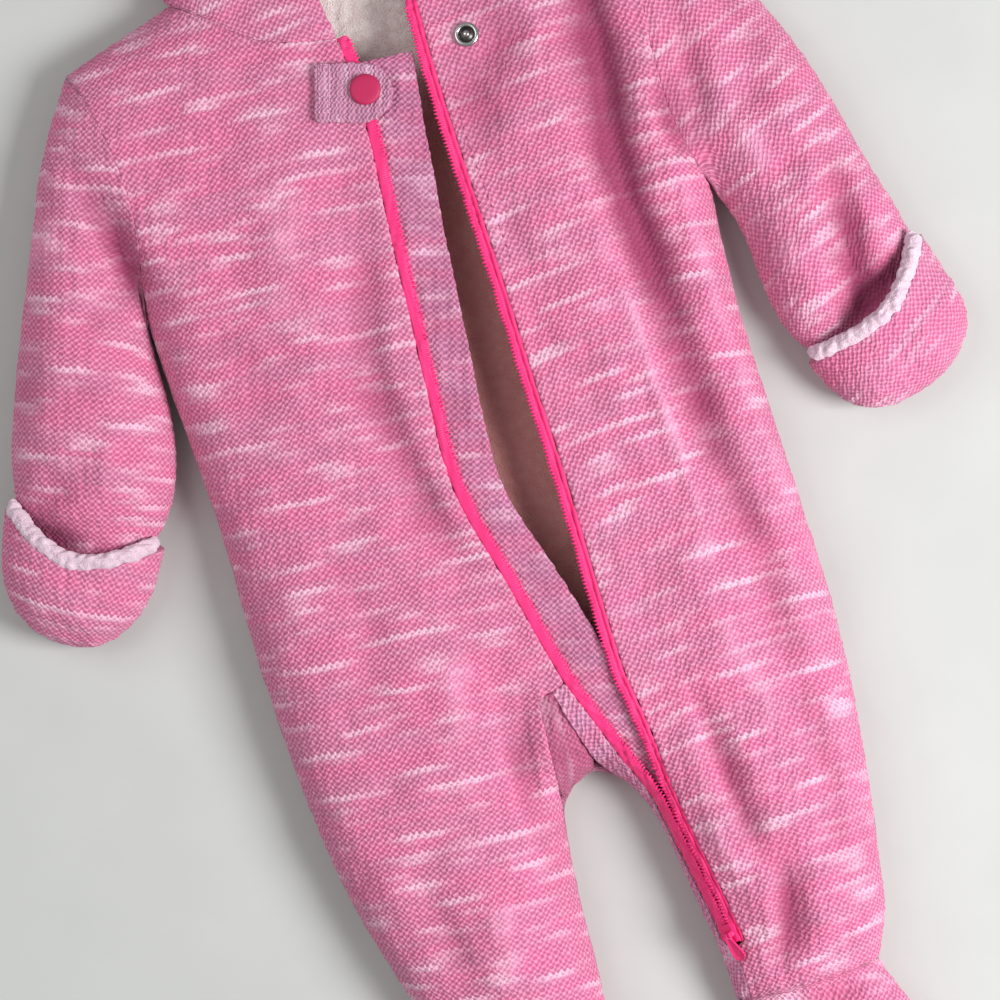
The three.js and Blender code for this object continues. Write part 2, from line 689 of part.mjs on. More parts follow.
/** The inner edge of a front: the zip, and below it the leg. */
function frontInner(hand) {
  const { sign, zipTop } = HAND[hand];
  return centreLevels(zipTop[1]).map((y) => {
    if (hand === 'left') {
      if (y < ZIP_END_Y) return [LEG_SEAM_X, y];
      return [readTable(ZIP, 'y', 'left', y) + tapeHalf(y) + SEAM_GAP / 2, y];
    }
    if (y >= SPLIT_LEVELS[0]) {
      return [readTable(ZIP, 'y', 'right', y) + sign * (tapeHalf(y) + SEAM_GAP / 2), y];
    }
    return [y > SLIT.right[1][1] ? inseamX(y) : atLevel(SLIT.right, y), y];
  });
}

/** The inseam from the top of the gusset to the leg. */
function inseamX(y) {
  const [topX, topY] = [-10.8, -98];
  const [endX, endY] = SLIT.right[1];
  return lerp(topX, endX, (topY - y) / (topY - endY));
}

function frontPanel(hand) {
  const inner = frontInner(hand);
  const neck = NECKLINE[hand];
  const end = inner[0];
  const first = firstRow(topRow(hand, end, (x) => atPlace(neck, x)));
  const grid = gridBetween(
    sidePoints(hand), inner, (length, row) => bodyShares(length, row, hand === 'right'), first, neckFade,
  );
  const patch = patchOn(suitForm, 1, grid, { split: true, trims: ['top', 'last'] });
  trimArmhole(patch);
  trimAnkle(patch);
  return wallMesh(`front_${hand}`, COLOURS.knit, [patch]);
}

/** Draws the armhole points of a body patch half a gap back from the sleeve. */
function trimArmhole(patch) {
  for (let row = 0; row <= ARMPIT_ROW; row += 1) {
    const point = patch[row][0].position;
    point.x += Math.sign(CENTRE_X - point.x) * SEAM_GAP / 2;
  }
}

function trimAnkle(patch) {
  for (const point of patch[patch.length - 1]) {
    point.position.y += SEAM_GAP / 2;
  }
}

/** Half of the back: it reaches the centre line above the crotch and the leg's inside below it. */
function backPatch(hand) {
  const { neck } = HAND[hand];
  const neckShare = (CENTRE_X - NECK_RIGHT[0]) / (NECK_LEFT[0] - NECK_RIGHT[0]);
  const middle = mixPoints(NECK_RIGHT, NECK_LEFT, neckShare);
  const inner = centreLevels(middle[1])
    .map((y) => (y >= CROTCH[1] ? [CENTRE_X, y] : [atLevel(SLIT[hand], y), y]));
  const straight = (x) => lerp(neck[1], middle[1], (x - neck[0]) / (middle[0] - neck[0]));
  const first = firstRow(topRow(hand, middle, straight));
  const grid = gridBetween(
    sidePoints(hand), inner, (length, row) => bodyShares(length, row, true), first, neckFade,
  );
  const patch = patchOn(suitForm, -1, grid, { split: true, trims: ['top'] });
  patch[0][patch[0].length - 1].position.x = CENTRE_X;
  trimArmhole(patch);
  trimAnkle(patch);
  return patch;
}

function back() {
  return wallMesh('back', COLOURS.knit, [backPatch('right'), backPatch('left')]);
}

// The crotch: a gusset between the legs, and the band that carries the zip's right half down the left leg

const BAND_EDGE = planCurve([[-3, -98.4], [1.5, -117.5], [5, -130], [7.6, -138], [8.9, -142.5]]);

const BAND_LEVELS = [-98.4, -106, -117.5, -130, -138, CROTCH[1]];
const BAND_TIP_DROP = 0.4;     // how far the top corners stand clear of the front above

function gusset() {
  const levels = [-100, -117.5, -130, -138, CROTCH[1], SLIT.right[1][1]];
  const left = levels.map((y) => [inseamX(y), y]);
  const right = BAND_LEVELS.map((y) => [atLevel(BAND_EDGE, y), y]);
  right[0][1] -= BAND_TIP_DROP;
  right[right.length - 1] = CROTCH;
  const shares = [0, 0.25, 0.5, 0.75, 1];
  const grid = gridBetween(left, right, () => shares);
  const patch = patchOn(suitForm, 1, grid, { split: true, trims: ['top', 'first', 'last'] });
  const DIP = 1.8;
  patch.slice(1, -1).forEach((row) => row.forEach((point, column) => {
    point.position.z -= DIP * shares[column];
  }));
  return wallMesh('gusset', COLOURS.knit, [patch]);
}

function legBand() {
  const legLevels = SPLIT_LEVELS.filter((y) => y < CROTCH[1]);
  const besideGusset = BAND_LEVELS.map((y) => [atLevel(BAND_EDGE, y), y]);
  const inner = [...besideGusset, ...legLevels.map((y) => [atLevel(SLIT.left, y), y])];
  const zipLevels = [SPLIT_LEVELS[0] - BAND_TIP_DROP, ...BAND_LEVELS.slice(1), ...legLevels];
  const outer = zipLevels.map((y) => (
    [y < ZIP_END_Y ? LEG_SEAM_X : readTable(ZIP, 'y', 'right', y) - tapeHalf(y) - SEAM_GAP / 2, y]));
  const shares = [0, 0.12, 0.45, 1];
  const grid = gridBetween(inner, outer, () => shares);
  const patch = patchOn(suitForm, 1, grid, { split: true, trims: ['top', 'last'] });
  for (let row = 0; row < BAND_LEVELS.length; row += 1) {
    patch[row][0].position.x += SEAM_GAP / 2;
  }
  trimAnkle(patch);
  return wallMesh('inner_leg_band', COLOURS.band, [patch]);
}

// Sleeves, mittens and feet

/** A sleeve is one tube: its upper and under sides share the outer fold and the underarm seam. */
function sleeve(hand) {
  const mitten = MITTEN[hand];
  const form = sleeveForm(mitten);
  const armhole = sidePoints(hand).slice(0, ARMPIT_ROW + 1);
  armhole[ARMPIT_ROW] = SLEEVE_PIT[hand];
  const rows = [0, 0.04, 0.12, 0.23, 0.36, 0.49, 0.62, 0.73, 0.82, 0.89, 0.95, 1];
  const CAP_FADE = 0.4;
  const outer = rows.map((share) => alongCurve(SLEEVE_OUTER[hand], share));
  const inner = rows.map((share) => alongCurve(SLEEVE_INNER[hand], share));
  const first = firstRow(armhole);
  const fade = (row) => (1 - clamp(rows[row] / CAP_FADE, 0, 1)) ** 2;
  const { direction } = pastWrist(mitten, mitten.start[0], mitten.start[1]);
  const patches = [1, -1].map((side) => {
    const grid = gridBetween(outer, inner, (length) => twoEdges(length), first, fade);
    const shaped = side < 0 ? grid : grid.map((row, i) => row.map(([x, y], j) => {
      const share = twoEdges(distanceBetween(outer[i], inner[i]))[j];
      const push = flapBow(mitten, share) * smoothstep(rows[i], 0.72, 1);
      return [x + push * direction[0], y + push * direction[1]];
    }));
    const patch = patchOn(form, side, shaped);
    for (const point of patch[0]) {
      point.position.x += HAND[hand].sign * SEAM_GAP / 2;
    }
    return patch;
  });
  return wallMesh(`sleeve_${hand}`, COLOURS.knit, patches);
}

/** A mitten is a cup: its flap comes over the hand from the back, and its edge bows across the sleeve. */
function mittenRows(mitten) {
  const rows = [0, 0.1, 0.22, 0.35, 0.49, 0.63, 0.77, 0.9, 1];
  const outer = rows.map((share) => alongCurve(mitten.outer, share));
  const inner = rows.map((share) => alongCurve(mitten.inner, share));
  return { rows, outer, inner };
}

function mitten(hand) {
  const shape = MITTEN[hand];
  const form = mittenForm(shape);
  const { rows, outer, inner } = mittenRows(shape);
  const { direction } = pastWrist(shape, shape.start[0], shape.start[1]);
  const patches = [1, -1].map((side) => {
    const grid = gridBetween(outer, inner, (length) => twoEdges(length));
    const bowed = side < 0 ? grid : grid.map((row, i) => row.map(([x, y], j) => {
      const share = twoEdges(distanceBetween(outer[i], inner[i]))[j];
      const push = flapBow(shape, share) * (1 - clamp(rows[i] / 0.8, 0, 1)) ** 2;
      return [x + push * direction[0], y + push * direction[1]];
    }));
    return patchOn(form, side, bowed);
  });
  return wallMesh(`mitten_${hand}`, COLOURS.knit, patches);
}

/** The pile lining turned out over the flap's edge, as a soft roll. */
function mittenTrim(hand) {
  const ROLL_WIDTH = 6.5;
  const ROLL_WALL = 4;
  const shape = MITTEN[hand];
  const form = mittenForm(shape);
  const { direction } = pastWrist(shape, shape.start[0], shape.start[1]);
  const across = twoEdges(distanceBetween(shape.start, shape.end)).slice(1, -1);
  const steps = [1, 0.7, 0.3, 0];
  const grid = steps.map((step) => across.map((share) => {
    const [x, y] = mixPoints(shape.start, shape.end, share);
    const push = flapBow(shape, share) - SEAM_GAP - step * ROLL_WIDTH;
    return [x + push * direction[0], y + push * direction[1]];
  }));
  const swell = [-0.6, 1, 1, -0.2];
  const patch = patchOn(form, 1, grid, { lift: (row) => swell[row] });
  return wallMesh(`mitten_edge_${hand}`, COLOURS.pile, [patch], ROLL_WALL);
}

function foot(hand) {
  const rows = [0, 0.1, 0.22, 0.34, 0.47, 0.6, 0.74, 0.87, 1];
  const outer = rows.map((share) => alongCurve(FOOT_OUTER[hand], share));
  const inner = rows.map((share) => alongCurve(FOOT_INNER[hand], share));
  const patches = [1, -1].map((side) => {
    const patch = patchOn(suitForm, side, gridBetween(outer, inner, (length) => twoEdges(length)));
    for (const point of patch[0]) {
      point.position.y -= SEAM_GAP / 2;
    }
    return patch;
  });
  return wallMesh(`foot_${hand}`, COLOURS.knit, patches);
}

// The hood: two halves, each wrapped over its side to the centre seam below

const HOOD_OPEN_ROWS = 9;
const HOOD_CROWN_ROWS = 4;
const HOOD_OPEN_SHARE = 0.6;   // share of the side outline that lies beside the face opening
const HOOD_NECK_ROWS = 6;      // rows over which the neckline's shape fades out

function hoodSidePoints(hand) {
  const open = Array.from({ length: HOOD_OPEN_ROWS }, (_, i) => HOOD_OPEN_SHARE * i / HOOD_OPEN_ROWS);
  const crown = Array.from(
    { length: HOOD_CROWN_ROWS + 1 }, (_, i) => lerp(HOOD_OPEN_SHARE, 1, i / HOOD_CROWN_ROWS),
  );
  return [...open, ...crown].map((share) => alongCurve(HOOD_SIDE[hand], share));
}

function hood(hand) {
  const { sign } = HAND[hand];
  const side = hoodSidePoints(hand);
  const lastOpen = HOOD_OPEN_ROWS;
  const zipEnd = frontInner(hand)[0];
  const face = side.map((_, row) => {
    if (row > lastOpen) {
      return [CENTRE_X, lerp(FACE_TOP_Y, CROWN_POINT[1], (row - lastOpen) / HOOD_CROWN_ROWS)];
    }
    const [x, y] = alongCurve(FACE_EDGE[hand], row / lastOpen);
    return [x + (zipEnd[0] - FACE_EDGE[hand][0][0]) * (1 - row / lastOpen), y];
  });
  const fade = (row) => (1 - clamp(row / HOOD_NECK_ROWS, 0, 1)) ** 2;
  const neckPoints = neckRow(hand, zipEnd, (x) => atPlace(NECKLINE[hand], x));
  face[0] = neckPoints[neckPoints.length - 1];
  const shares = (length) => oneEdge(length, NECK_STEPS);
  const topGrid = gridBetween(side, face, shares, firstRow(neckPoints), fade);
  const neckShare = (CENTRE_X - NECK_RIGHT[0]) / (NECK_LEFT[0] - NECK_RIGHT[0]);
  const middle = mixPoints(NECK_RIGHT, NECK_LEFT, neckShare);
  const spine = side.map((_, row) => [CENTRE_X, lerp(middle[1], CROWN_POINT[1], row / (side.length - 1))]);
  const underGrid = gridBetween(side, spine, shares);
  const patches = [patchOn(suitForm, 1, topGrid), patchOn(suitForm, -1, underGrid)];
  for (const patch of patches) {
    for (const point of patch[0]) {
      point.position.y += SEAM_GAP / 2;
    }
  }
  for (let row = 0; row < side.length; row += 1) {
    if (row >= lastOpen) {
      patches[0][row][NECK_STEPS].position.x += sign * SEAM_GAP / 2;
    }
    patches[1][row][NECK_STEPS].position.x += sign * SEAM_GAP / 2;
  }
  return wallMesh(`hood_${hand}`, COLOURS.knit, patches);
}

// Zip tapes, placket and linings

function tapeLevels(hand) {
  const all = centreLevels(HAND[hand].zipTop[1]);
  return all.filter((y) => y >= ZIP_END_Y);
}

function zipTape(hand) {
  const levels = tapeLevels(hand);
  const centre = levels.map((y) => [readTable(ZIP, 'y', hand, y), y]);
  const edgeA = centre.map(([x, y]) => [x - tapeHalf(y) + SEAM_GAP / 2, y]);
  const edgeB = centre.map(([x, y]) => [x + tapeHalf(y) - SEAM_GAP / 2, y]);
  const patch = patchOn(suitForm, 1, gridBetween(edgeA, edgeB, () => [0, 0.5, 1]), { lift: -TAPE_DROP });
  return wallMesh(`zip_tape_${hand}`, COLOURS.tape, [patch], TAPE_WALL);
}

/** Even levels from one height on the page down to another. */
function evenLevels(fromY, toY, steps) {
  return Array.from({ length: steps + 1 }, (_, i) => lerp(fromY, toY, i / steps));
}

/** The placket is tucked behind the tape on the body and only meets it down the leg. */
function placket() {
  const TOP_Y = 229;
  const TUCK = { body: 9, leg: 0.5 };
  const TOP_SLANT = 3;
  const levels = evenLevels(TOP_Y, PLACKET_END_Y, 21);
  const hidden = levels.map((y) => (
    [readTable(ZIP, 'y', 'right', y) - lerp(TUCK.leg, TUCK.body, smoothstep(y, -112, -85)), y]));
  const free = levels.map((y) => (
    [readTable(ZIP, 'y', 'placket', y), y - TOP_SLANT * smoothstep(y, 150, TOP_Y)]));
  const grid = gridBetween(hidden, free, () => [0, 0.25, 0.5, 0.75, 1]);
  const patch = patchOn(suitForm, 1, grid, { lift: -PLACKET_DROP });
  return wallMesh('placket', COLOURS.band, [patch], PLACKET_WALL);
}

/** The pile of the lining lies in soft lumps. */
function liningHeight(x, y) {
  return LINING_TOP + 0.9 * (1 + Math.sin(x / 17 + y / 31) * Math.cos(y / 23));
}

function backLining() {
  const INSET = 27;
  const levels = evenLevels(284.5, -98, 17);
  const edge = (hand) => levels.map((y) => {
    const side = y > ARMPIT[hand][1] ? ARMPIT[hand][0] : atLevel(SIDE[hand], y);
    const bySeam = side - HAND[hand].sign * INSET;
    const byNeck = HAND[hand].neck[0] - HAND[hand].sign * INSET;
    return [lerp(bySeam, byNeck, smoothstep(y, 205, 262)), y];
  });
  const shares = [0, 0.12, 0.25, 0.38, 0.5, 0.62, 0.75, 0.88, 1];
  const grid = gridBetween(edge('right'), edge('left'), () => shares);
  return wallMesh('back_lining', COLOURS.lining, [loosePatch(grid, liningHeight)], PILE_WALL);
}

function hoodLining() {
  const INSET = 26;
  const levels = evenLevels(432, 287.5, 7);
  const edge = (hand) => levels.map((y) => [atLevel(HOOD_SIDE[hand], y) - HAND[hand].sign * INSET, y]);
  const grid = gridBetween(edge('right'), edge('left'), () => [0, 0.17, 0.33, 0.5, 0.67, 0.83, 1]);
  return wallMesh('hood_lining', COLOURS.lining, [loosePatch(grid, liningHeight)], PILE_WALL);
}

// Snap tab, snap and zip slider

/** The tab: a strap with one round end that lies over the zip. */
function snapTab() {
  const half = TAB.width / 2;
  const turn = degToRad(TAB.turn);
  const steps = [0, 0.2, 0.4, 0.58, 0.7, 0.8, 0.88, 0.94, 0.98, 1];
  const across = [-1, -0.5, 0, 0.5, 1];
  const straight = TAB.length - half;
  const grid = steps.map((step) => {
    const run = step * TAB.length;
    const halfHere = run > straight ? Math.sqrt(Math.max(half ** 2 - (run - straight) ** 2, 0.8)) : half;
    return across.map((share) => [
      TAB.x + run * Math.cos(turn) - share * halfHere * Math.sin(turn),
      TAB.y + run * Math.sin(turn) + share * halfHere * Math.cos(turn),
    ]);
  });
  return wallMesh('snap_tab', COLOURS.band, [patchOn(suitForm, 1, grid, { lift: TAB.lift })], TAB.wall);
}

/** Places a piece on the cloth: its own Z stands on the surface and its own Y runs as told. */
function seatOn(mesh, x, y, along, lift) {
  const { position, normal } = pointOn(suitForm, 1, x, y);
  const yAxis = new THREE.Vector3(along[0], along[1], 0).projectOnPlane(normal).normalize();
  const xAxis = yAxis.clone().cross(normal);
  mesh.quaternion.setFromRotationMatrix(new THREE.Matrix4().makeBasis(xAxis, yAxis, normal));
  mesh.position.copy(position).addScaledVector(normal, lift);
  return mesh;
}

/** A lathe turned about Z from [radius, height] points. */
function turned(points, segments) {
  const geometry = new THREE.LatheGeometry(points.map(([r, z]) => new THREE.Vector2(r, z)), segments);
  return geometry.rotateX(Math.PI / 2);
}

function snapCap() {
  const { radius, height } = CAP;
  const profile = [
    [0, 0], [radius - 0.8, 0], [radius, 0.8],
    [radius - 0.5, height * 0.7], [radius * 0.7, height], [0, height],
  ];
  const mesh = meshOf('snap_cap', turned(profile, 24), COLOURS.cap, 0.45);
  return seatOn(mesh, CAP.x, CAP.y, [0, 1], TAB.lift + 0.5);
}

function snapStud() {
  const { radius, height } = STUD;
  const profile = [
    [0, 0], [radius, 0], [radius, 0.7], [radius - 1, 1.4], [radius - 1.9, 1.4], [radius - 2.3, 0.8],
    [2.1, 0.8], [1.9, height - 0.5], [1.2, height], [0, height],
  ];
  const mesh = meshOf('snap_stud', turned(profile, 20), COLOURS.steel, 0.3, 1);
  return seatOn(mesh, STUD.x, STUD.y, [0, 1], 0.5);
}

function solidOf(geometry) {
  const welded = geometry.index ? geometry.toNonIndexed() : geometry;
  const position = welded.getAttribute('position');
  const corners = new Map();
  const vertices = [];
  const triangles = [];
  for (let i = 0; i < position.count; i += 1) {
    const values = [position.getX(i), position.getY(i), position.getZ(i)];
    const key = values.map((value) => Math.round(value * 1e4)).join(' ');
    if (!corners.has(key)) {
      corners.set(key, vertices.length / 3);
      vertices.push(...values);
    }
    triangles.push(corners.get(key));
  }
  return new wasm.Manifold(new wasm.Mesh({
    numProp: 3, vertProperties: new Float32Array(vertices), triVerts: new Uint32Array(triangles),
  }));
}

function geometryOf(solid) {
  const { vertProperties, triVerts } = solid.getMesh();
  const geometry = new THREE.BufferGeometry();
  geometry.setAttribute('position', new THREE.Float32BufferAttribute(vertProperties, 3));
  geometry.setIndex(Array.from(triVerts));
  return geometry;
}

/** The slider: a tapered plate over the tapes, with two ears and the pin that the pull hangs on. */
function zipSlider() {
  const { width, length, plate, pinZ, pinRadius } = SLIDER;
  const outline = new THREE.Shape();
  outline.moveTo(-width * 0.32, -length / 2);
  outline.lineTo(width * 0.32, -length / 2);
  outline.lineTo(width / 2, -length * 0.2);
  outline.lineTo(width * 0.36, length / 2);
  outline.lineTo(-width * 0.36, length / 2);
  outline.lineTo(-width / 2, -length * 0.2);
  const body = new THREE.ExtrudeGeometry(outline, { depth: plate, bevelEnabled: false });
  const earWidth = 1;
  const earX = 2.2;
  const earHeight = pinZ + 1 - plate / 2;
  const ears = [-1, 1].map((sign) => (
    new THREE.BoxGeometry(earWidth, 2.6, earHeight).translate(sign * earX, 0, (plate + earHeight) / 2)));
  const pin = new THREE.CylinderGeometry(pinRadius, pinRadius, 2 * earX, 16);
  pin.rotateZ(Math.PI / 2).translate(0, 0, pinZ);
  const solid = [body, ...ears, pin].map(solidOf).reduce((whole, piece) => whole.add(piece));
  const mesh = meshOf('zip_slider', geometryOf(solid), COLOURS.tape, 0.4);
  return seatOn(mesh, SLIDER.x, SLIDER.y, [-0.16, 1], 0.3);
}

/** The pull: an eye round the pin and a plate that widens to a round end, lying down the leg. */
function zipPull() {
  const { length, width, thickness, eyeRadius, holeRadius, drop } = PULL;
  const EYE_WIDTH = 2.6;
  const side = new THREE.Shape();
  side.absarc(0, 0, eyeRadius, 0, Math.PI * 2);
  const eyeShape = { depth: EYE_WIDTH, bevelEnabled: false, curveSegments: 12 };
  const eyeBody = new THREE.ExtrudeGeometry(side, eyeShape);
  eyeBody.translate(0, 0, -EYE_WIDTH / 2).rotateY(Math.PI / 2);
  const hole = new THREE.CylinderGeometry(holeRadius, holeRadius, EYE_WIDTH * 2, 20).rotateZ(Math.PI / 2);
  const plan = new THREE.Shape();
  plan.moveTo(-EYE_WIDTH / 2, 0);
  plan.lineTo(-width / 2, -length + width / 2);
  plan.absarc(0, -length + width / 2, width / 2, Math.PI, Math.PI * 2, false);
  plan.lineTo(EYE_WIDTH / 2, 0);
  const plate = new THREE.ExtrudeGeometry(plan, { depth: thickness, bevelEnabled: false, curveSegments: 12 });
  plate.translate(0, 0, -thickness / 2);
  const solid = solidOf(eyeBody).add(solidOf(plate)).subtract(solidOf(hole));
  const geometry = geometryOf(solid).rotateX(degToRad(-drop)).translate(0, 0, SLIDER.pinZ);
  return seatOn(meshOf('zip_pull', geometry, COLOURS.tape, 0.4), SLIDER.x, SLIDER.y, [-0.16, 1], 0.3);
}

// Assembly

const garment = new THREE.Group();
garment.add(back(), gusset(), legBand(), placket(), backLining(), hoodLining());
garment.add(snapTab(), snapCap(), snapStud());
for (const hand of ['right', 'left']) {
  garment.add(frontPanel(hand), sleeve(hand), mitten(hand), mittenTrim(hand));
  garment.add(foot(hand), hood(hand), zipTape(hand));
}
garment.add(zipSlider(), zipPull());
garment.position.set(-ORIGIN_X, -ORIGIN_Y, 0);

export default garment;
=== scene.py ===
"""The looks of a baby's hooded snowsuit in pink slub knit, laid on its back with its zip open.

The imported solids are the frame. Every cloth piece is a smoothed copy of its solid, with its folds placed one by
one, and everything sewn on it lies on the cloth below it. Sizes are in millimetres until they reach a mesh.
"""

import json
import logging
import math
from dataclasses import dataclass, field
from enum import Enum

import bmesh
import bpy
import numpy as np
from mathutils import Matrix, Vector
from mathutils.bvhtree import BVHTree

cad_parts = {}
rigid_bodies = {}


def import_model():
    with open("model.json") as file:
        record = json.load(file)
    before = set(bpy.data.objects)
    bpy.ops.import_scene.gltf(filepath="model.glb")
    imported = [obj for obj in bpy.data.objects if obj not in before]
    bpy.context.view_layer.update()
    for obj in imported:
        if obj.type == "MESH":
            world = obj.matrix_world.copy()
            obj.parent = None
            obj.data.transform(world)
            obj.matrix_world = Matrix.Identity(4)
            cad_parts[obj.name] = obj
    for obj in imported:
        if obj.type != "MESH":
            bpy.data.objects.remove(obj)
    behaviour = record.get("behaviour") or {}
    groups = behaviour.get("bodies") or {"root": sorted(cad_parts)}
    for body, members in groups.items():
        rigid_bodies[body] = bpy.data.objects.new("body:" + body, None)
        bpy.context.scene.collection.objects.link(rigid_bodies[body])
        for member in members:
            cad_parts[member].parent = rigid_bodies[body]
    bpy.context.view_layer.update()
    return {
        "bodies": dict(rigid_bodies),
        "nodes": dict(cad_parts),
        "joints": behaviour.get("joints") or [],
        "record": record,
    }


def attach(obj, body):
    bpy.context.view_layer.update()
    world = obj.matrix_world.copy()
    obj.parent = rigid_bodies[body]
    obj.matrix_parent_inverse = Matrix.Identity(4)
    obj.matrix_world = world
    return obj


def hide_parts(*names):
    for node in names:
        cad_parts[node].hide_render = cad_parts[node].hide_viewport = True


LOG = logging.getLogger("snowsuit")
MM = 0.001
BODY = "garment"
PULL_BODY = "pull_tab"


class Side(Enum):
    """The wearer's sides; the wearer's right lies at the camera's left."""

    RIGHT = "right"
    LEFT = "left"

    @property
    def sign(self) -> int:
        """The sign of x on this side."""
        return -1 if self is Side.RIGHT else 1


def linear(hex_code: str) -> tuple[float, float, float, float]:
    """Turns an sRGB hex colour into linear RGBA.

    Args:
        hex_code: six hex digits.

    Returns:
        Red, green, blue and an alpha of one.
    """
    parts = [int(hex_code[i : i + 2], 16) / 255 for i in (0, 2, 4)]
    red, green, blue = (c / 12.92 if c <= 0.04045 else ((c + 0.055) / 1.055) ** 2.4 for c in parts)
    return red, green, blue, 1.0


def add_node(tree: bpy.types.NodeTree, kind: str, inputs: dict | None = None, **settings) -> bpy.types.Node:
    """Adds a shader node with its settings, values and links.

    Args:
        tree: the material's node tree.
        kind: the node's type name.
        inputs: values or sockets, by the input's name or number.
        settings: properties of the node.

    Returns:
        The new node.
    """
    node = tree.nodes.new(kind)
    for name, value in settings.items():
        setattr(node, name, value)
    for key, value in (inputs or {}).items():
        if isinstance(value, bpy.types.NodeSocket):
            tree.links.new(value, node.inputs[key])
        else:
            node.inputs[key].default_value = value
    return node


def new_material(name: str, shader_values: dict) -> tuple[bpy.types.Material, bpy.types.NodeTree, bpy.types.Node]:
    """Starts a material with one Principled shader.

    Args:
        name: what the real material is.
        shader_values: constants for the shader's own sockets.

    Returns:
        The material, its tree and its shader.
    """
    material = bpy.data.materials.new(name)
    material.use_nodes = True
    tree = material.node_tree
    shader = tree.nodes["Principled BSDF"]
    for key, value in shader_values.items():
        shader.inputs[key].default_value = value
    return material, tree, shader


@dataclass(frozen=True)
class SlubKnit:
    """Cotton slub yarn, knitted with the purl side out: small bumps, dusty and warm streaks, pale slubs.

    The surface is matt with a soft bloom, because short fibres stand out of the yarn.
    """

    name: str = "slub_purl_knit"
    warm: str = "D96F98"
    dusty: str = "CD779B"
    pale: str = "F3C2D7"
    # The shade colour is painted shade in the valleys between stitches, and the crest colour a painted highlight on
    # the proudest yarn.
    shade: str = "8E3C64"
    crest: str = "FAB4CF"
    course: float = 3.15  # mm from one course to the next
    stitch: float = 3.55  # mm along a course from one stitch to the next
    falling_share: float = 0.85  # how proud a stitch's falling leg is beside its rising leg
    course_share: float = 0.6
    course_wave: float = 1.2  # rad, how far a course swings up and down from loop to loop
    # The first colour below is painted shade in the troughs of folds, the second a painted highlight on their ridges.
    fold_shade: str = "8F3358"
    ridge_highlight: str = "FBB4D3"
    slub_length: float = 29.0  # mm, about the length of one pale slub
    streak_length: float = 75.0  # mm, length of a change of tone along a course
    relief: float = 0.56  # mm from valley to crest

    def make(self) -> bpy.types.Material:
        """Builds the material on the piece's own map, which is in millimetres."""
        material, tree, shader = new_material(
            self.name,
            {"Roughness": 0.92, "Sheen Weight": 0.25, "Sheen Roughness": 0.5, "Specular IOR Level": 0.2},
        )
        shader.inputs["Sheen Tint"].default_value = linear("FFD9EA")
        place = add_node(tree, "ShaderNodeUVMap", uv_map="Cloth").outputs["UV"]
        split = add_node(tree, "ShaderNodeSeparateXYZ", {0: place})
        # Hand-knitted unevenness: courses wander over 30 mm, and each stitch sits a little off its place.
        drift = add_node(
            tree, "ShaderNodeTexNoise", {"Vector": place, "Scale": 0.03, "Detail": 1.0}, noise_dimensions="2D"
        )
        jitter = add_node(
            tree, "ShaderNodeTexNoise", {"Vector": place, "Scale": 0.22, "Detail": 1.0}, noise_dimensions="2D"
        )
        jitter_parts = add_node(tree, "ShaderNodeSeparateColor", {0: jitter.outputs["Color"]})
        rise = add_node(
            tree,
            "ShaderNodeMath",
            {0: drift.outputs["Fac"], 1: 3.0, 2: split.outputs["Y"]},
            operation="MULTIPLY_ADD",
        )
        across = add_node(
            tree,
            "ShaderNodeMath",
            {0: jitter_parts.outputs["Red"], 1: 1.7, 2: rise.outputs[0]},
            operation="MULTIPLY_ADD",
        )
        along = add_node(
            tree,
            "ShaderNodeMath",
            {0: jitter_parts.outputs["Green"], 1: 2.0, 2: split.outputs["X"]},
            operation="MULTIPLY_ADD",
        )
        angle = add_node(
            tree, "ShaderNodeMath", {0: along.outputs[0], 1: math.tau / self.stitch}, operation="MULTIPLY"
        )
        level = add_node(
            tree, "ShaderNodeMath", {0: across.outputs[0], 1: math.tau / self.course}, operation="MULTIPLY"
        )
        # A course is one yarn that swings up and down from loop to loop.
        swing = add_node(tree, "ShaderNodeMath", {0: angle.outputs[0]}, operation="COSINE")
        winding = add_node(
            tree,
            "ShaderNodeMath",
            {0: swing.outputs[0], 1: self.course_wave, 2: level.outputs[0]},
            operation="MULTIPLY_ADD",
        )
        turns = add_node(tree, "ShaderNodeMath", {0: winding.outputs[0], 1: 1 / math.tau}, operation="MULTIPLY")
        row = add_node(tree, "ShaderNodeMath", {0: turns.outputs[0]}, operation="ROUND")
        # The loops of one course lie between those of the next, so their bumps stand as on a chequered board.
        # The rising legs stand a little prouder than the falling ones.
        falling = add_node(tree, "ShaderNodeMath", {0: angle.outputs[0], 1: level.outputs[0]}, operation="ADD")
        rising = add_node(
            tree, "ShaderNodeMath", {0: angle.outputs[0], 1: level.outputs[0]}, operation="SUBTRACT"
        )
        waves = [
            add_node(tree, "ShaderNodeMath", {0: turn.outputs[0]}, operation="COSINE")
            for turn in (rising, falling, winding)
        ]
        total = waves[0].outputs[0]
        for wave, share in ((waves[1], self.falling_share), (waves[2], self.course_share)):
            total = add_node(
                tree,
                "ShaderNodeMath",
                {0: wave.outputs[0], 1: share, 2: total},
                operation="MULTIPLY_ADD",
            ).outputs[0]
        reach = 1 + self.falling_share + self.course_share
        yarn = add_node(
            tree, "ShaderNodeMapRange", {"Value": total, "From Min": -0.62 * reach, "From Max": 0.8 * reach}
        )
        fuzz = add_node(
            tree, "ShaderNodeTexNoise", {"Vector": place, "Scale": 1.1, "Detail": 3.0}, noise_dimensions="2D"
        )
        colour = self._yarn_colour(tree, split, row, yarn, fuzz)
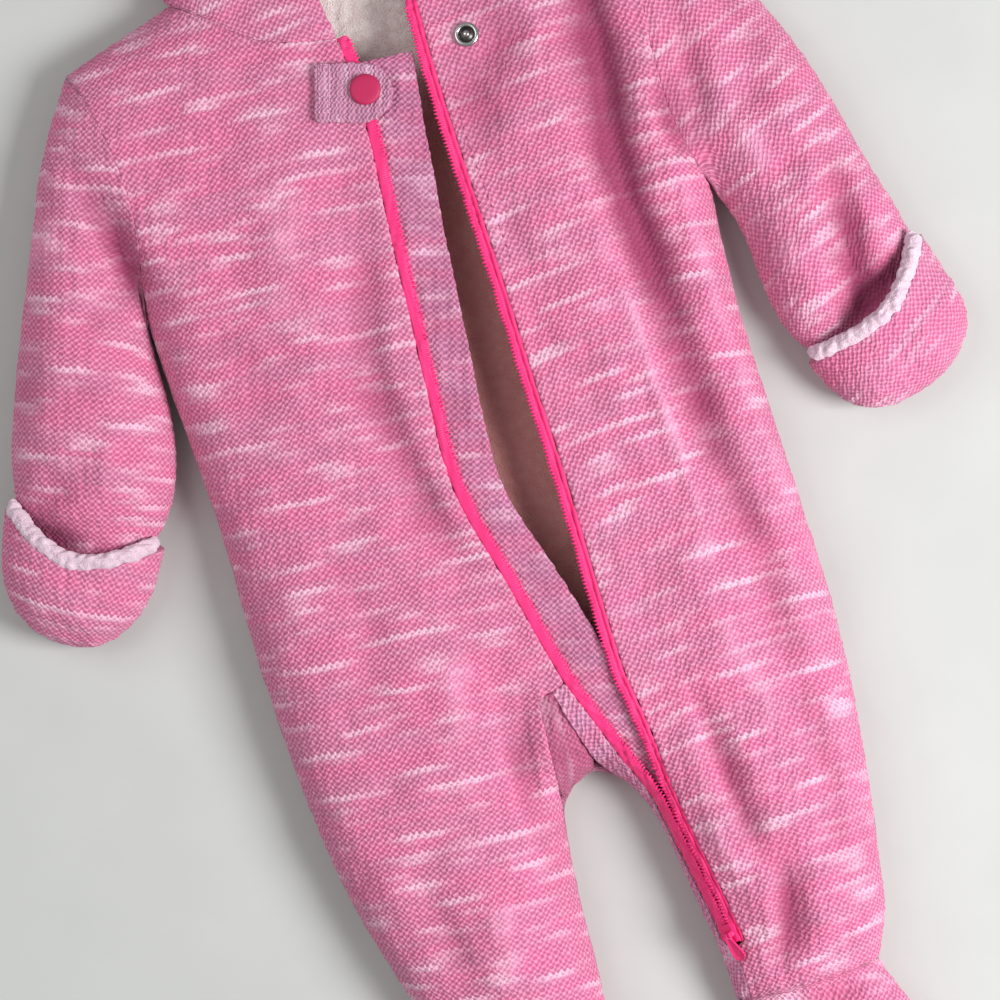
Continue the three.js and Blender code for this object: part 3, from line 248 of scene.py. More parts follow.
        # Painted shade in fold troughs and painted highlight on fold ridges, read from the fold rise that each piece
        # stores.
        colour = self._paint_fold_light(tree, colour)
        tree.links.new(colour, shader.inputs["Base Color"])
        height = add_node(
            tree,
            "ShaderNodeMath",
            {0: fuzz.outputs["Fac"], 1: 0.35, 2: yarn.outputs[0]},
            operation="MULTIPLY_ADD",
        )
        bump = add_node(
            tree,
            "ShaderNodeBump",
            {"Height": height.outputs[0], "Distance": self.relief * MM, "Strength": 1.0},
        )
        tree.links.new(bump.outputs[0], shader.inputs["Normal"])
        return material

    def _paint_fold_light(self, tree: bpy.types.NodeTree, colour: bpy.types.NodeSocket) -> bpy.types.NodeSocket:
        """Paints shade on the yarn where a fold closes over it, and paints a highlight where a ridge stands up.

        Args:
            tree: the material's node tree.
            colour: the yarn's colour on flat cloth.

        Returns:
            The socket that holds the colour.
        """
        rise = add_node(tree, "ShaderNodeAttribute", attribute_name="Fold").outputs["Fac"]
        # Painted shade, growing as the fold deepens.
        fold_shade_share = add_node(
            tree,
            "ShaderNodeMapRange",
            {"Value": rise, "From Min": -0.7, "From Max": -7.5, "To Max": 0.88},
        )
        fold_shaded = add_node(
            tree,
            "ShaderNodeMix",
            {0: fold_shade_share.outputs[0], 6: colour, 7: linear(self.fold_shade)},
            data_type="RGBA",
        )
        # Painted highlight, growing as the ridge rises.
        ridge_highlight_share = add_node(
            tree,
            "ShaderNodeMapRange",
            {"Value": rise, "From Min": 1.0, "From Max": 3.4, "To Max": 0.5},
        )
        ridge_lit = add_node(
            tree,
            "ShaderNodeMix",
            {0: ridge_highlight_share.outputs[0], 6: fold_shaded.outputs[2], 7: linear(self.ridge_highlight)},
            data_type="RGBA",
        )
        return ridge_lit.outputs[2]

    def _yarn_colour(
        self,
        tree: bpy.types.NodeTree,
        split: bpy.types.Node,
        row: bpy.types.Node,
        yarn: bpy.types.Node,
        fuzz: bpy.types.Node,
    ) -> bpy.types.NodeSocket:
        """Mixes the yarn's tones: streaks and slubs along each course, painted shade in the valleys and a painted
        highlight on the crests.

        Args:
            tree: the material's node tree.
            split: the map's parts.
            row: which course a point is on.
            yarn: how proud the yarn is.
            fuzz: fine noise of the fibres.

        Returns:
            The socket that holds the colour.
        """
        streak_x = add_node(
            tree, "ShaderNodeMath", {0: split.outputs["X"], 1: 1 / self.streak_length}, operation="MULTIPLY"
        )
        streak_y = add_node(tree, "ShaderNodeMath", {0: row.outputs[0], 1: 0.3}, operation="MULTIPLY")
        streak_at = add_node(tree, "ShaderNodeCombineXYZ", {0: streak_x.outputs[0], 1: streak_y.outputs[0]})
        streak = add_node(
            tree,
            "ShaderNodeTexNoise",
            {"Vector": streak_at.outputs[0], "Scale": 1.0, "Detail": 1.0},
            noise_dimensions="2D",
        )
        tone = add_node(
            tree, "ShaderNodeMapRange", {"Value": streak.outputs["Fac"], "From Min": 0.36, "From Max": 0.64}
        )
        base = add_node(
            tree,
            "ShaderNodeMix",
            {0: tone.outputs[0], 6: linear(self.warm), 7: linear(self.dusty)},
            data_type="RGBA",
        )
        slub_x = add_node(
            tree, "ShaderNodeMath", {0: split.outputs["X"], 1: 1 / self.slub_length}, operation="MULTIPLY"
        )
        slub_y = add_node(tree, "ShaderNodeMath", {0: row.outputs[0], 1: 0.62}, operation="MULTIPLY")
        slub_at = add_node(tree, "ShaderNodeCombineXYZ", {0: slub_x.outputs[0], 1: slub_y.outputs[0], 2: 7.0})
        slub = add_node(
            tree,
            "ShaderNodeTexNoise",
            {"Vector": slub_at.outputs[0], "Scale": 1.0, "Detail": 0.0},
            noise_dimensions="3D",
        )
        # The slub's fibres thin out unevenly, so its ends fade over a few stitches.
        slub_broken = add_node(
            tree,
            "ShaderNodeMath",
            {0: fuzz.outputs["Fac"], 1: 0.16, 2: slub.outputs["Fac"]},
            operation="MULTIPLY_ADD",
        )
        slub_share = add_node(
            tree,
            "ShaderNodeMapRange",
            {"Value": slub_broken.outputs[0], "From Min": 0.59, "From Max": 0.9, "To Max": 0.8},
            interpolation_type="SMOOTHSTEP",
        )
        with_slub = add_node(
            tree,
            "ShaderNodeMix",
            {0: slub_share.outputs[0], 6: base.outputs[2], 7: linear(self.pale)},
            data_type="RGBA",
        )
        # Painted shade in the valleys between stitches.
        depth = add_node(
            tree,
            "ShaderNodeMapRange",
            {"Value": yarn.outputs[0], "From Min": 0.0, "From Max": 0.5, "To Min": 0.46, "To Max": 0.0},
            interpolation_type="SMOOTHSTEP",
        )
        shaded = add_node(
            tree,
            "ShaderNodeMix",
            {0: depth.outputs[0], 6: with_slub.outputs[2], 7: linear(self.shade)},
            data_type="RGBA",
        )
        # Painted highlight on the crests of the yarn.
        lit = add_node(
            tree,
            "ShaderNodeMapRange",
            {"Value": yarn.outputs[0], "From Min": 0.45, "From Max": 0.95, "To Max": 0.85},
        )
        lit_uneven = add_node(
            tree, "ShaderNodeMath", {0: lit.outputs[0], 1: fuzz.outputs["Fac"]}, operation="MULTIPLY"
        )
        crested = add_node(
            tree,
            "ShaderNodeMix",
            {0: lit_uneven.outputs[0], 6: shaded.outputs[2], 7: linear(self.crest)},
            data_type="RGBA",
        )
        return crested.outputs[2]


@dataclass(frozen=True)
class SherpaPile:
    """Polyester sherpa: a matt pile in soft clumps, with painted shade in the hollows between them, so the tips read
    paler.
    """

    name: str
    # The root colour is painted shade in the hollows between clumps; the tip colour is the pile's own.
    tip: str
    root: str
    clump: float = 3.6  # mm across a clump
    clumpiness: float = 0.5
    bounce_light: str | None = None  # painted pink bounce light and shade that the backs of the fronts throw on the pile between them
    bounce_light_from: float = 178.0  # mm along the suit, where the blush begins
    bounce_light_full: float = 140.0
    bounce_light_share: float = 0.68

    def make(self) -> bpy.types.Material:
        """Builds the material on object coordinates."""
        material, tree, shader = new_material(
            self.name,
            {"Roughness": 0.95, "Sheen Weight": 0.4, "Sheen Roughness": 0.6, "Specular IOR Level": 0.15},
        )
        place = add_node(tree, "ShaderNodeTexCoord").outputs["Object"]
        clumps = add_node(
            tree, "ShaderNodeTexVoronoi", {"Vector": place, "Scale": 1 / (self.clump * MM)}, feature="SMOOTH_F1"
        )
        fibre = add_node(
            tree, "ShaderNodeTexNoise", {"Vector": place, "Scale": 1 / (0.9 * MM), "Detail": 4.0}
        )
        depth = add_node(
            tree,
            "ShaderNodeMath",
            {0: clumps.outputs["Distance"], 1: self.clumpiness, 2: fibre.outputs["Fac"]},
            operation="MULTIPLY_ADD",
        )
        share = add_node(
            tree, "ShaderNodeMapRange", {"Value": depth.outputs[0], "From Min": 0.45, "From Max": 1.0}
        )
        # Painted shade: the hollows between clumps mix towards the root colour.
        colour = add_node(
            tree,
            "ShaderNodeMix",
            {0: share.outputs[0], 6: linear(self.tip), 7: linear(self.root)},
            data_type="RGBA",
        )
        # Painted pink bounce light and shade from the fronts, growing along the suit towards the feet.
        if self.bounce_light is not None:
            along = add_node(tree, "ShaderNodeSeparateXYZ", {0: place}).outputs["Y"]
            reach = {"From Min": self.bounce_light_from * MM, "From Max": self.bounce_light_full * MM}
            share = add_node(
                tree, "ShaderNodeMapRange", {"Value": along, **reach, "To Max": self.bounce_light_share}
            )
            colour = add_node(
                tree,
                "ShaderNodeMix",
                {0: share.outputs[0], 6: colour.outputs[2], 7: linear(self.bounce_light)},
                data_type="RGBA",
            )
        tree.links.new(colour.outputs[2], shader.inputs["Base Color"])
        bump = add_node(
            tree,
            "ShaderNodeBump",
            {"Height": depth.outputs[0], "Distance": 1.2 * MM, "Strength": 0.8},
            invert=True,
        )
        tree.links.new(bump.outputs[0], shader.inputs["Normal"])
        return material


@dataclass(frozen=True)
class WovenTape:
    """Woven polyester zip tape: bright, slightly glossy, ribbed across its length."""

    name: str = "woven_zip_tape"
    colour: str = "F42A7D"
    shade: str = "DE1C69"
    rib: float = 1.1  # mm; the real rib is 0.6 mm, which is too fine to show

    def make(self) -> bpy.types.Material:
        """Builds the material on the piece's own map, which is in millimetres."""
        material, tree, shader = new_material(self.name, {"Roughness": 0.55, "Sheen Weight": 0.15})
        place = add_node(tree, "ShaderNodeUVMap", uv_map="Cloth").outputs["UV"]
        split = add_node(tree, "ShaderNodeSeparateXYZ", {0: place})
        angle = add_node(
            tree, "ShaderNodeMath", {0: split.outputs["Y"], 1: math.tau / self.rib}, operation="MULTIPLY"
        )
        wave = add_node(tree, "ShaderNodeMath", {0: angle.outputs[0]}, operation="SINE")
        share = add_node(
            tree,
            "ShaderNodeMapRange",
            {"Value": wave.outputs[0], "From Min": -1.0, "From Max": 1.0, "To Max": 0.45},
        )
        colour = add_node(
            tree,
            "ShaderNodeMix",
            {0: share.outputs[0], 6: linear(self.colour), 7: linear(self.shade)},
            data_type="RGBA",
        )
        tree.links.new(colour.outputs[2], shader.inputs["Base Color"])
        bump = add_node(
            tree, "ShaderNodeBump", {"Height": wave.outputs[0], "Distance": 0.12 * MM, "Strength": 0.6}
        )
        tree.links.new(bump.outputs[0], shader.inputs["Normal"])
        return material


@dataclass(frozen=True)
class PlainFinish:
    """A moulded, painted, plated or spun finish with faint unevenness in tone and in its skin."""

    name: str
    colour: str
    tone: str
    roughness: float
    metallic: float = 0.0
    grain: float = 1.5  # mm across one patch of the unevenness
    relief: float = 0.02  # mm
    coat: float = 0.0

    def make(self) -> bpy.types.Material:
        """Builds the material on object coordinates."""
        material, tree, shader = new_material(
            self.name,
            {"Metallic": self.metallic, "Coat Weight": self.coat, "Coat Roughness": 0.15},
        )
        place = add_node(tree, "ShaderNodeTexCoord").outputs["Object"]
        patch = add_node(
            tree, "ShaderNodeTexNoise", {"Vector": place, "Scale": 1 / (self.grain * MM), "Detail": 3.0}
        )
        colour = add_node(
            tree,
            "ShaderNodeMix",
            {0: patch.outputs["Fac"], 6: linear(self.colour), 7: linear(self.tone)},
            data_type="RGBA",
        )
        tree.links.new(colour.outputs[2], shader.inputs["Base Color"])
        rough = add_node(
            tree,
            "ShaderNodeMapRange",
            {"Value": patch.outputs["Fac"], "To Min": self.roughness - 0.06, "To Max": self.roughness + 0.06},
        )
        tree.links.new(rough.outputs[0], shader.inputs["Roughness"])
        bump = add_node(
            tree,
            "ShaderNodeBump",
            {"Height": patch.outputs["Fac"], "Distance": self.relief * MM, "Strength": 0.5},
        )
        tree.links.new(bump.outputs[0], shader.inputs["Normal"])
        return material


@dataclass(frozen=True)
class Finishes:
    """Every finish of the suit, made once."""

    knit: bpy.types.Material
    band_knit: bpy.types.Material
    tab_knit: bpy.types.Material
    edge_pile: bpy.types.Material
    lining_pile: bpy.types.Material
    hood_pile: bpy.types.Material
    tape: bpy.types.Material
    teeth: bpy.types.Material
    enamel: bpy.types.Material
    cap: bpy.types.Material
    plated: bpy.types.Material
    socket: bpy.types.Material
    thread: bpy.types.Material
    pale_thread: bpy.types.Material

    @classmethod
    def make(cls) -> "Finishes":
        """Builds the materials."""
        return cls(
            knit=SlubKnit().make(),
            band_knit=SlubKnit(
                name="slub_purl_knit_band", warm="D0749B", dusty="C480A4", pale="EFC4DA", shade="7F355C"
            ).make(),
            tab_knit=SlubKnit(
                name="slub_purl_knit_tab",
                warm="C583A1",
                dusty="BD819F",
                pale="E0B8CE",
                shade="7B4864",
                crest="E4A8C4",
                course=2.1,
                stitch=3.0,
                falling_share=0.55,
                course_share=1.1,
            ).make(),
            edge_pile=SherpaPile("sherpa_edge_pile", tip="E8D1DD", root="CFABBF", clump=3.4).make(),
            lining_pile=SherpaPile(
                "sherpa_lining_pile", tip="FFF6F2", root="E0C9C4", clump=4.5, bounce_light="D96A64"
            ).make(),
            hood_pile=SherpaPile("sherpa_hood_pile", tip="FFF6F2", root="E0C9C4", clump=4.5).make(),
            tape=WovenTape().make(),
            teeth=PlainFinish("nylon_zip_teeth", "FF3D8C", "EE2577", 0.38).make(),
            enamel=PlainFinish("enamelled_zinc", "F72C7C", "DB2069", 0.3, relief=0.01, coat=0.4).make(),
            cap=PlainFinish("matt_moulded_nylon", "BE1A55", "AE164E", 0.6, grain=0.8).make(),
            plated=PlainFinish("nickel_plated_steel", "C9C8C6", "AFAEAC", 0.24, metallic=1.0, relief=0.005).make(),
            # The stud's bed: nickel painted dark as shade.
            socket=PlainFinish("shaded_nickel", "6E6A6A", "4A4748", 0.4, metallic=1.0, relief=0.01).make(),
            thread=PlainFinish("spun_polyester_thread", "B04F7E", "8F3B66", 0.7, grain=0.6, relief=0.08).make(),
            pale_thread=PlainFinish("pale_polyester_thread", "EFB9D3", "D88FB5", 0.7, grain=0.6, relief=0.08).make(),
        )


@dataclass(frozen=True)
class Fold:
    """One fold of the cloth, along a few points in millimetres.

    A trough has a depth below zero. Lean makes the side on its left steeper, and skew moves its deepest place.
    """

    points: tuple[tuple[float, float], ...]
    width: float
    depth: float
    lean: float = 0.0
    skew: float = 0.5

    def rise(self, x: np.ndarray, y: np.ndarray) -> np.ndarray:
        """How far the cloth rises at each place.

        Args:
            x: places across, in millimetres.
            y: places along, in millimetres.

        Returns:
            The rise at each place, in millimetres.
        """
        spans = list(zip(self.points, self.points[1:]))
        lengths = [math.dist(a, b) for a, b in spans]
        best = np.full(x.shape, 1e9)
        offset = np.zeros(x.shape)
        share = np.zeros(x.shape)
        run = 0.0
        for ((x1, y1), (x2, y2)), length in zip(spans, lengths):
            dx, dy = (x2 - x1) / length, (y2 - y1) / length
            t = np.clip((x - x1) * dx + (y - y1) * dy, 0, length)
            px, py = x - (x1 + t * dx), y - (y1 + t * dy)
            distance = np.hypot(px, py)
            closer = distance < best
            best = np.where(closer, distance, best)
            offset = np.where(closer, dx * py - dy * px, offset)
            share = np.where(closer, (run + t) / sum(lengths), share)
            run += length
        width = self.width * (1 - self.lean * np.tanh(offset / self.width))
        bend = math.log(0.5) / math.log(min(max(self.skew, 0.05), 0.95))
        swell = np.sin(np.pi * np.clip(share, 0, 1) ** bend) * 0.75 + 0.25
        return self.depth * swell * np.exp(-((best / width) ** 2))


# Folds of the front, in millimetres in the frame, each as it lies on the cloth.
BODY_FOLDS = (
    Fold(((-24, 110), (-34, 60), (-43, 21), (-40, -12), (-36, -50), (-30, -83)), 9, -5.2, lean=0.3, skew=0.6),
    Fold(((-62, 150), (-72, 95), (-66, 40)), 18, 1.8),
    Fold(((-118, 70), (-96, 45), (-78, 38)), 9, -2.0, lean=0.3),
    Fold(((-122, 40), (-100, 22), (-84, 14)), 8, -1.6, lean=-0.3),
    Fold(((-126, -40), (-98, -52), (-70, -54)), 12, -1.3),
    Fold(((-74, -50), (-80, -83), (-84, -129), (-88, -170)), 10, -2.0, skew=0.55),
    Fold(((-40, -80), (-47, -117), (-52, -155), (-60, -195)), 11, 2.2),
    Fold(((-28, -140), (-33, -190), (-30, -235)), 7, -3.4, lean=-0.35),
    Fold(((-16, -146), (-24, -170), (-27, -200)), 4.5, -2.0),
    Fold(((-92, -215), (-88, -260), (-84, -300)), 9, -1.8, lean=0.3),
    Fold(((-66, -235), (-64, -270), (-60, -305)), 10, 1.6),
    Fold(
        ((118, 236), (113, 164), (110, 131), (105, 101), (103, 67), (106, 38), (107, 11), (109, -21), (110, -60)),
        11.5, -10.0, lean=0.25, skew=0.4,
    ),
    Fold(((107, -10), (109, -52), (113, -85), (117, -122), (116, -148), (113, -179), (115, -210)), 9, -4.2, skew=0.4),
    Fold(((70, 200), (59, 164), (47, 142), (38, 110)), 15, -4.6),
    Fold(((124, -252), (123, -268), (122, -288)), 6, -1.8),
    Fold(((84, 90), (90, 33), (90, -17), (91, -68), (92, -109)), 5, 3.0),
    Fold(((132, 90), (130, 20), (134, -60), (138, -130)), 6, 2.0, skew=0.4),
    Fold(((86, 100), (84, 60), (86, 0), (90, -60)), 9, 1.3),
    Fold(((60, 20), (60, -12), (62, -50)), 10, -2.0, lean=0.3),
    Fold(((54, -190), (54, -238), (58, -284)), 6, 1.8),
    Fold(((64, -176), (67, -212), (69, -232), (73, -262)), 6.5, -6.4, lean=-0.3),
    Fold(((82, -262), (79, -280), (75, -298), (66, -318)), 8, -7.4, lean=-0.3),
    Fold(((86, -110), (94, -188), (98, -245)), 10, 2.0),
    Fold(((118, -190), (114, -240), (110, -290)), 8, -2.4, lean=0.3),
    Fold(((46, 130), (44, 70), (46, 10)), 7, -1.4),
    Fold(((74, 178), (70, 150), (72, 120)), 9, -1.6, lean=0.3),
    Fold(((138, -95), (141, -125), (142, -155)), 2.4, 1.1),
    Fold(((128, 52), (116, 42), (104, 40)), 6, -1.6, lean=0.3),
    Fold(((132, 22), (118, 12), (106, 10)), 6, -1.5),
)
# Folds of the sleeves, from the armhole to just above the mitten flap.
SLEEVE_FOLDS = (
    Fold(((-158, 172), (-154, 154), (-150, 134), (-146, 112), (-144, 88)), 8, -7.5, lean=-0.3, skew=0.7),
    Fold(((-166, 180), (-180, 130), (-190, 80)), 13, 2.0),
    Fold(((-150, 98), (-168, 88), (-186, 92)), 8, -2.0, lean=0.3),
    Fold(((-152, 62), (-176, 56), (-200, 66)), 8, -1.8, lean=-0.3),
    Fold(((-205, 110), (-214, 72), (-216, 40)), 9, -1.8),
    Fold(((-182, 30), (-196, 14), (-222, 10)), 9, -3.0, lean=0.3),
    Fold(((-168, 40), (-182, 22), (-188, 2)), 7, 1.6),
    Fold(((136, 128), (134, 102), (138, 78)), 8, -6.0, lean=-0.3, skew=0.6),
    Fold(((152, 166), (154, 128), (152, 106), (145, 84)), 7, -4.6),
    Fold(((160, 150), (166, 98), (173, 44), (178, 4)), 10, 2.4),
    Fold(((176, 170), (190, 120), (200, 78)), 9, -2.0, lean=0.3),
    Fold(((156, 92), (172, 98), (190, 104)), 8, -1.8, lean=-0.3),
    Fold(((160, 60), (178, 60), (202, 72)), 8, -1.6, lean=0.3),
    Fold(((206, 76), (206, 48), (205, 23), (202, 0)), 8, -3.6, lean=0.3, skew=0.6),
    Fold(((186, 22), (194, 8), (204, 0)), 7, -2.4, lean=0.3),
)
# Folds of the hood, feet and mittens, which mostly follow their seams.
END_FOLDS = (
    Fold(((-84, 240), (-72, 262), (-60, 300)), 9, -2.4, lean=0.3),
    Fold(((-96, 300), (-84, 335), (-64, 362)), 9, -1.8),
    Fold(((-62, 214), (-48, 218), (-30, 214)), 6, -1.6),
    Fold(((96, 240), (84, 262), (74, 300)), 9, -2.0, lean=-0.3),
    Fold(((106, 296), (94, 335), (76, 362)), 9, -1.8),
    Fold(((-40, 372), (-10, 380), (20, 374)), 9, -1.6, lean=0.3),
    Fold(((-100, -336), (-76, -340), (-44, -336)), 5, -2.6, lean=-0.3),
    Fold(((-104, -352), (-80, -360), (-52, -352)), 7, 1.8),
    Fold(((116, -336), (92, -340), (56, -336)), 5, -2.6, lean=0.3),
    Fold(((118, -352), (94, -360), (68, -352)), 7, 1.8),
    Fold(((-240, -20), (-226, -44), (-208, -56)), 9, 1.6),
    Fold(((-200, -34), (-212, -50), (-222, -58)), 6, -1.6),
    Fold(((236, -24), (222, -46), (206, -56)), 9, 1.6),
    Fold(((206, -36), (214, -52), (224, -60)), 6, -1.6),
)
# The hollows that each cuff makes behind its turned-back mitten.
CUFF_HOLLOWS = {
    Side.RIGHT: (Fold(((-232, 2), (-219, -9), (-205, -18)), 8, -7.6),),
    Side.LEFT: (
        Fold(((186, -19), (198, -15), (212, -7), (226, 3)), 10, -9.0),
        Fold(((203, 50), (206, 23), (201, -8)), 8, -4.5, skew=0.65),
    ),
}
ALL_FOLDS = BODY_FOLDS + SLEEVE_FOLDS + END_FOLDS


@dataclass(frozen=True)
class SoftLumps:
    """Small unevenness of padded cloth: waves whose lengths never repeat, each with its height."""

    waves: tuple[tuple[float, float, float, float], ...] = (
        (61.0, 0.35, 0.7, 0.2),
        (37.0, 1.9, 0.5, 1.3),
        (23.0, 2.8, 0.32, 2.9),
        (14.5, 0.9, 0.2, 4.1),
        (9.3, 2.2, 0.13, 5.2),
    )

    def rise(self, x: np.ndarray, y: np.ndarray) -> np.ndarray:
        """The unevenness at each place, in millimetres."""
        total = np.zeros(x.shape)
        for length, heading, height, phase in self.waves:
            along = (x * math.cos(heading) + y * math.sin(heading)) * math.tau / length
            across = (y * math.cos(heading) - x * math.sin(heading)) * math.tau / (length * 1.37)
            total += height * np.sin(along + phase) * np.cos(across + 1.7 * phase)
        return total


# Middle and reach of each hard part, in millimetres: the cloth stays as it is below it.
HARD_PARTS = ((46.0, -294.5, 15.0), (-5.5, 158.2, 12.0), (50.6, 170.3, 10.0))


def fold_rise(x: np.ndarray, y: np.ndarray) -> np.ndarray:
    """The rise of every fold and lump together at each place, in millimetres."""
    total = SoftLumps().rise(x, y)
    for fold in ALL_FOLDS:
        total += fold.rise(x, y)
    for middle_x, middle_y, reach in HARD_PARTS:
        total *= 1 - np.exp(-(((x - middle_x) ** 2 + (y - middle_y) ** 2) / reach**2))
    return total


def vertex_array(mesh: bpy.types.Mesh, name: str = "co") -> np.ndarray:
    """Reads a vector of every vertex as rows of three."""
    values = np.zeros(len(mesh.vertices) * 3, np.float32)
    mesh.vertices.foreach_get(name, values)
    return values.reshape(-1, 3).astype(float)


def place_object(name: str, mesh: bpy.types.Mesh, material: bpy.types.Material, body: str) -> bpy.types.Object:
    """Puts a finished mesh in the scene, with its material, riding on a body.

    Args:
        name: the piece's name.
        mesh: the mesh, with its place in its vertices.
        material: its finish.
        body: the body it moves with.

    Returns:
        The new object.
    """
    mesh.materials.clear()
    mesh.materials.append(material)
    obj = bpy.data.objects.new(name, mesh)
    bpy.context.scene.collection.objects.link(obj)
    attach(obj, body)
    return obj


def drop_stored_normals(mesh: bpy.types.Mesh) -> None:
    """Forgets the normals that came with a solid, so the shading follows the new shape."""
    stored = mesh.attributes.get("custom_normal")
    if stored is not None:
        mesh.attributes.remove(stored)


def smooth_copy(node: bpy.types.Object, name: str, levels: int, crease: float) -> bpy.types.Mesh:
    """Copies a solid's mesh, joins its triangles and smooths it, with its cloth edges kept.

    Args:
        node: the solid's object.
        name: the new mesh's name.
        levels: times that each face is divided.
        crease: how sharp the cut edges stay, from 0 to 1.

    Returns:
        The smoothed mesh.
    """
    bm = bmesh.new()
    bm.from_mesh(node.data)
    bmesh.ops.remove_doubles(bm, verts=bm.verts, dist=0.01 * MM)
    bmesh.ops.join_triangles(
        bm, faces=bm.faces, angle_face_threshold=math.radians(50), angle_shape_threshold=math.radians(170)
    )
    sharp = bm.edges.layers.float.new("crease_edge")
    for edge in bm.edges:
        if len(edge.link_faces) == 2 and edge.calc_face_angle(0) > math.radians(58):
            edge[sharp] = crease
    mesh = bpy.data.meshes.new(name)
    bm.to_mesh(mesh)
    bm.free()
    drop_stored_normals(mesh)
    holder = bpy.data.objects.new(name, mesh)
    bpy.context.scene.collection.objects.link(holder)
    divide = holder.modifiers.new("divide", "SUBSURF")
    divide.levels = levels
    divide.render_levels = levels
    graph = bpy.context.evaluated_depsgraph_get()
    smooth = bpy.data.meshes.new_from_object(holder.evaluated_get(graph))
    bpy.data.objects.remove(holder)
    bpy.data.meshes.remove(mesh)
    smooth.name = name
    smooth.shade_smooth()
    return smooth


@dataclass(frozen=True)
class Grain:
    """How the courses of a piece run: they slope by slope and bend as they cross from the line at x = zero."""

    slope: float = 0.0
    bend: float = 0.0
    zero: float = 0.0
    turned: bool = False

    def apply(self, x: np.ndarray, y: np.ndarray) -> tuple[np.ndarray, np.ndarray]:
        """Places along a course and across the courses, in millimetres.

        Args:
            x: places across the suit.
            y: places along the suit.

        Returns:
            The two coordinates of the cloth's map.
        """
        tilt = 1 / math.hypot(1, self.slope)
        along = (x + self.slope * y) * tilt
        across = (y - self.slope * (x - self.zero) - self.bend * (x - self.zero) ** 2) * tilt
        return (across, along) if self.turned else (along, across)


@dataclass
class ClothPiece:
    """One cut piece of cloth, dressed from the solid of the same name."""

    node: str
    slot: str
    flat: tuple[float, float]  # mm, the cut's width and length
    area: float  # share of that rectangle that the cut fills
    grain: Grain = Grain()
    levels: int = 3
    crease: float = 0.75
    rests_on: tuple[str, ...] = ()
    fold_share: float = 1.0
    own_folds: tuple[Fold, ...] = ()
    fold_shade_depth: float = 0.0  # mm of painted fold shade laid over the whole piece, as if it lay down in a fold
    swell: float = 0.38  # mm by which the cloth stands out all round, so that seams close

    EDGE_REACH = 38.0  # mm over which the upper side rounds down
    SEAM_HEIGHT = 14.0
    CROWN = 37.0

    def build(self, frame: dict, material: bpy.types.Material) -> bpy.types.Object:
        """Makes the piece in place of its solid.

        Args:
            material: the cloth.

        Returns:
            The dressed piece.
        """
        mesh = smooth_copy(frame["nodes"][self.node], f"{self.node}_cloth", self.levels, self.crease)
        self.map_cloth(mesh)
        self.shape(mesh)
        piece = place_object(f"{self.node}_cloth", mesh, material, BODY)
        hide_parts(self.node)
        return piece

    def shape(self, mesh: bpy.types.Mesh) -> None:
        """Raises the folds in the cloth: fully on top, and faintly below, where it rests."""
        points = vertex_array(mesh) / MM
        rise = fold_rise(points[:, 0], points[:, 1]) * self.fold_share
        for fold in self.own_folds:
            rise += fold.rise(points[:, 0], points[:, 1])
        top = np.clip((points[:, 2] - 6.0) / 12.0, 0, 1)
        top = top * top * (3 - 2 * top)
        # The stored rise, less the piece's own fold shade depth, drives the knit's painted fold shade and ridge
        # highlight.
        tone = mesh.attributes.new("Fold", "FLOAT", "POINT")
        tone.data.foreach_set("value", (rise * top - self.fold_shade_depth).astype(np.float32))
        under = np.where(points[:, 2] < 6.0, 0.25 * np.abs(rise), 0.0)
        points[:, 2] += rise * top + under
        fine = SoftLumps(((8.1, 0.4, 0.3, 0.5), (5.3, 2.1, 0.24, 2.0), (3.9, 1.2, 0.2, 3.3)))
        skin = fine.rise(points[:, 0] + 0.7 * points[:, 2], points[:, 1] - 0.6 * points[:, 2]) * self.fold_share
        points += vertex_array(mesh, "normal") * (skin + self.swell)[:, None]
        points[:, 2] = np.maximum(points[:, 2], 0.05)
        mesh.vertices.foreach_set("co", (points * MM).astype(np.float32).ravel())
        mesh.update()

    def map_cloth(self, mesh: bpy.types.Mesh) -> None:
        """Lays the cloth's own map over the piece, in millimetres, let out where the piece rounds down."""
        points = vertex_array(mesh) / MM
        normals = vertex_array(mesh, "normal")
        level = np.hypot(normals[:, 0], normals[:, 1])
        drop = np.clip(self.CROWN - points[:, 2], 0, self.CROWN - self.SEAM_HEIGHT)
        slack = 0.57 * self.EDGE_REACH * (drop / self.EDGE_REACH) ** 1.5
        direction = normals[:, :2] / np.maximum(level, 0.05)[:, None] * np.clip(level * 3, 0, 1)[:, None]
        x = points[:, 0] + direction[:, 0] * slack
        y = points[:, 1] + direction[:, 1] * slack
        along, across = self.grain.apply(x, y)
        layer = mesh.uv_layers.new(name="Cloth")
        corner = np.zeros(len(mesh.loops), np.int32)
        mesh.loops.foreach_get("vertex_index", corner)
        values = np.stack([along[corner], across[corner]], axis=1).astype(np.float32)
        layer.uv.foreach_set("vector", values.ravel())


@dataclass
class PilePiece(ClothPiece):
    """A piece of sherpa, whose clumps stand out of its surface."""

    clump: float = 4.0
    height: float = 1.0

    def shape(self, mesh: bpy.types.Mesh) -> None:
        """Raises the folds, then the clumps of the pile."""
        super().shape(mesh)
        points = vertex_array(mesh) / MM
        x, y, z = points[:, 0], points[:, 1], points[:, 2]
        ragged = SoftLumps(
            (
                (self.clump * 2.3, 0.3, 0.45, 0.4),
                (self.clump * 1.5, 1.7, 0.45, 2.2),
                (self.clump * 1.1, 2.6, 0.3, 3.6),
                (self.clump * 0.45, 0.9, 0.16, 1.1),
            )
        )
        rise = self.height * ragged.rise(x + 0.6 * z, y - 0.8 * z)
        points += vertex_array(mesh, "normal") * rise[:, None]
        points[:, 2] = np.maximum(points[:, 2], 0.05)
        mesh.vertices.foreach_set("co", (points * MM).astype(np.float32).ravel())
        mesh.update()


